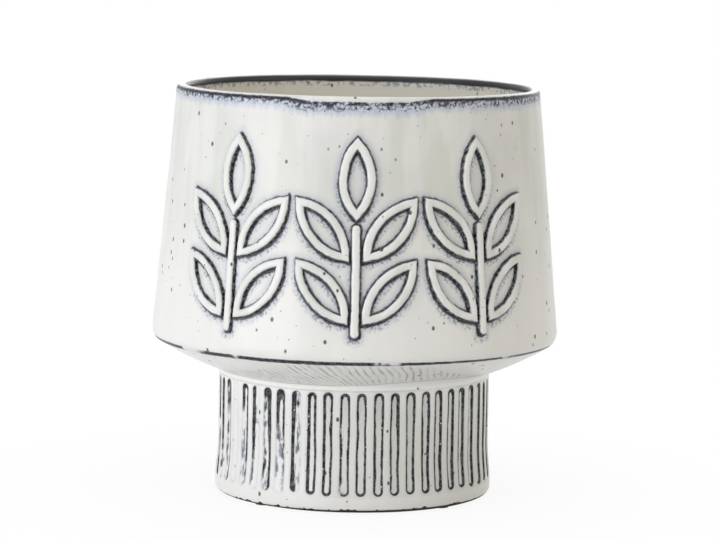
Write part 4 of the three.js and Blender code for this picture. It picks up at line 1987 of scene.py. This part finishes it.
@dataclass(frozen=True)
class Studio:
    """The white floor, the soft lamps and the camera."""

    target: Vector = field(default_factory=lambda: Vector((0.0, 0.0, 0.09)))
    camera_distance: float = 1.457
    camera_elevation: float = math.radians(7.17)
    camera_roll: float = math.radians(0.95)
    aim: Vector = field(default_factory=lambda: Vector((0.001, 0.0, 0.0982)))
    lens: float = 165.8
    sensor: float = 36.0
    ambient: float = 0.08
    ambient_colour: Colour = (1.0, 0.99, 0.97, 1.0)
    white: Colour = (1.0, 1.0, 1.0, 1.0)
    floor_size: float = 12.0
    floor_colour: Colour = tint(240, 240, 240)
    floor_roughness: float = 0.9
    floor_shade: float = 0.1
    shade_reach: float = 0.22
    lamps: Sequence[Lamp] = (
        Lamp("key_lamp", (-1.1, -0.9, 0.24), 1.2, 0.44, 9.5, (1.0, 1.0, 1.0)),
        Lamp("top_lamp", (-0.3, -0.2, 2.0), 2.4, 2.4, 27.5, (1.0, 1.0, 1.0)),
        Lamp("fill_lamp", (1.5, -0.8, 0.6), 1.2, 1.0, 7.3, (1.0, 0.92, 0.77)),
        Lamp("back_lamp", (0.3, 1.7, 0.7), 1.4, 1.0, 6.0, (1.0, 1.0, 1.0)),
    )

    def build(self) -> None:
        """Makes the floor, the surroundings, the lamps and the camera."""
        self.build_floor()
        self.build_world()
        for lamp in self.lamps:
            lamp.build(self.target)
        self.build_camera()

    def build_floor(self) -> None:
        """Lays a white floor that shows the planter's shadow faintly."""
        deselect()
        bpy.ops.mesh.primitive_plane_add(size=self.floor_size)
        floor = bpy.context.object
        floor.name = "floor"
        shader = Shader("white_floor")
        shader.dress(Base_Color=self.floor_colour, Roughness=self.floor_roughness)
        away = shader.node("ShaderNodeVectorMath", {"operation": "LENGTH"}, {0: shader.place}, "Value")
        shade = (1 - shader.smooth(away, 0.0, self.shade_reach / MM)) * self.floor_shade
        matt = Value(shader, shader.surface.outputs[0])
        glow = shader.node("ShaderNodeEmission", {}, {"Color": self.white, "Strength": 1.0})
        shader.send("OUTPUT_MATERIAL", shader.background_rays() * (1 - shade), matt, glow)
        floor.data.materials.append(shader.material)

    def build_world(self) -> None:
        """Fills the studio with soft white light, and shows it as white."""
        world = bpy.data.worlds.new("studio")
        bpy.context.scene.world = world
        world.use_nodes = True
        graph = Graph(world.node_tree)
        light = graph.own("BACKGROUND")
        graph.feed(light.inputs["Color"], self.ambient_colour)
        graph.feed(light.inputs["Strength"], self.ambient)
        shown = graph.node("ShaderNodeBackground", {}, {"Color": self.white, "Strength": 1.0})
        graph.send("OUTPUT_WORLD", graph.background_rays(), Value(graph, light.outputs[0]), shown)

    def build_camera(self) -> None:
        """Sets the camera at the photograph's viewing angle."""
        lens = bpy.data.cameras.new("camera")
        lens.lens = self.lens
        lens.sensor_width = self.sensor
        camera = bpy.data.objects.new("camera", lens)
        back = Vector((0.0, -math.cos(self.camera_elevation), math.sin(self.camera_elevation)))
        camera.location = self.target + back * self.camera_distance
        turn = (self.aim - camera.location).to_track_quat("-Z", "Y").to_matrix()
        camera.rotation_euler = (turn @ Matrix.Rotation(self.camera_roll, 3, "Z")).to_euler()
        bpy.context.scene.collection.objects.link(camera)
        bpy.context.scene.camera = camera


def main() -> None:
    """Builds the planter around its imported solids, piece by piece."""
    logging.basicConfig(level=logging.INFO, format="%(name)s: %(message)s")
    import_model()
    hand.seed_set(WOBBLE_SEED)
    bpy.context.scene.view_settings.view_transform = "Standard"
    Studio().build()

    glaze = Glaze()
    relief_glaze = Glaze(
        name="relief_glaze",
        white=tint(247, 247, 246),
        warm=tint(243, 243, 240),
        lavender=tint(238, 240, 246),
    )
    bowl = Bowl()
    foot = Foot(bowl)
    seam = LutingSeam(bowl, foot)
    plug = DrainPlug(foot)
    pads = FeltPads(foot)
    sprigs = [Sprig(bowl, number) for number in range(1, Sprig.count + 1)]
    lines = [line for sprig in sprigs for line in sprig.lines()]

    bowl.dress(bowl.build(lines), glaze)
    foot.dress(foot.build(), glaze)
    seam.dress(seam.build(), glaze)
    line_glaze = relief_glaze.coat("sprigs", lines[0].marks)
    for line in lines:
        line.dress(line.build(), line_glaze)
    plug.dress(plug.build(), Silicone())
    felt = Felt().coat()
    for number in range(1, pads.count + 1):
        pads.dress(pads.build(number), number, felt)


if __name__ == "__main__":
    main()
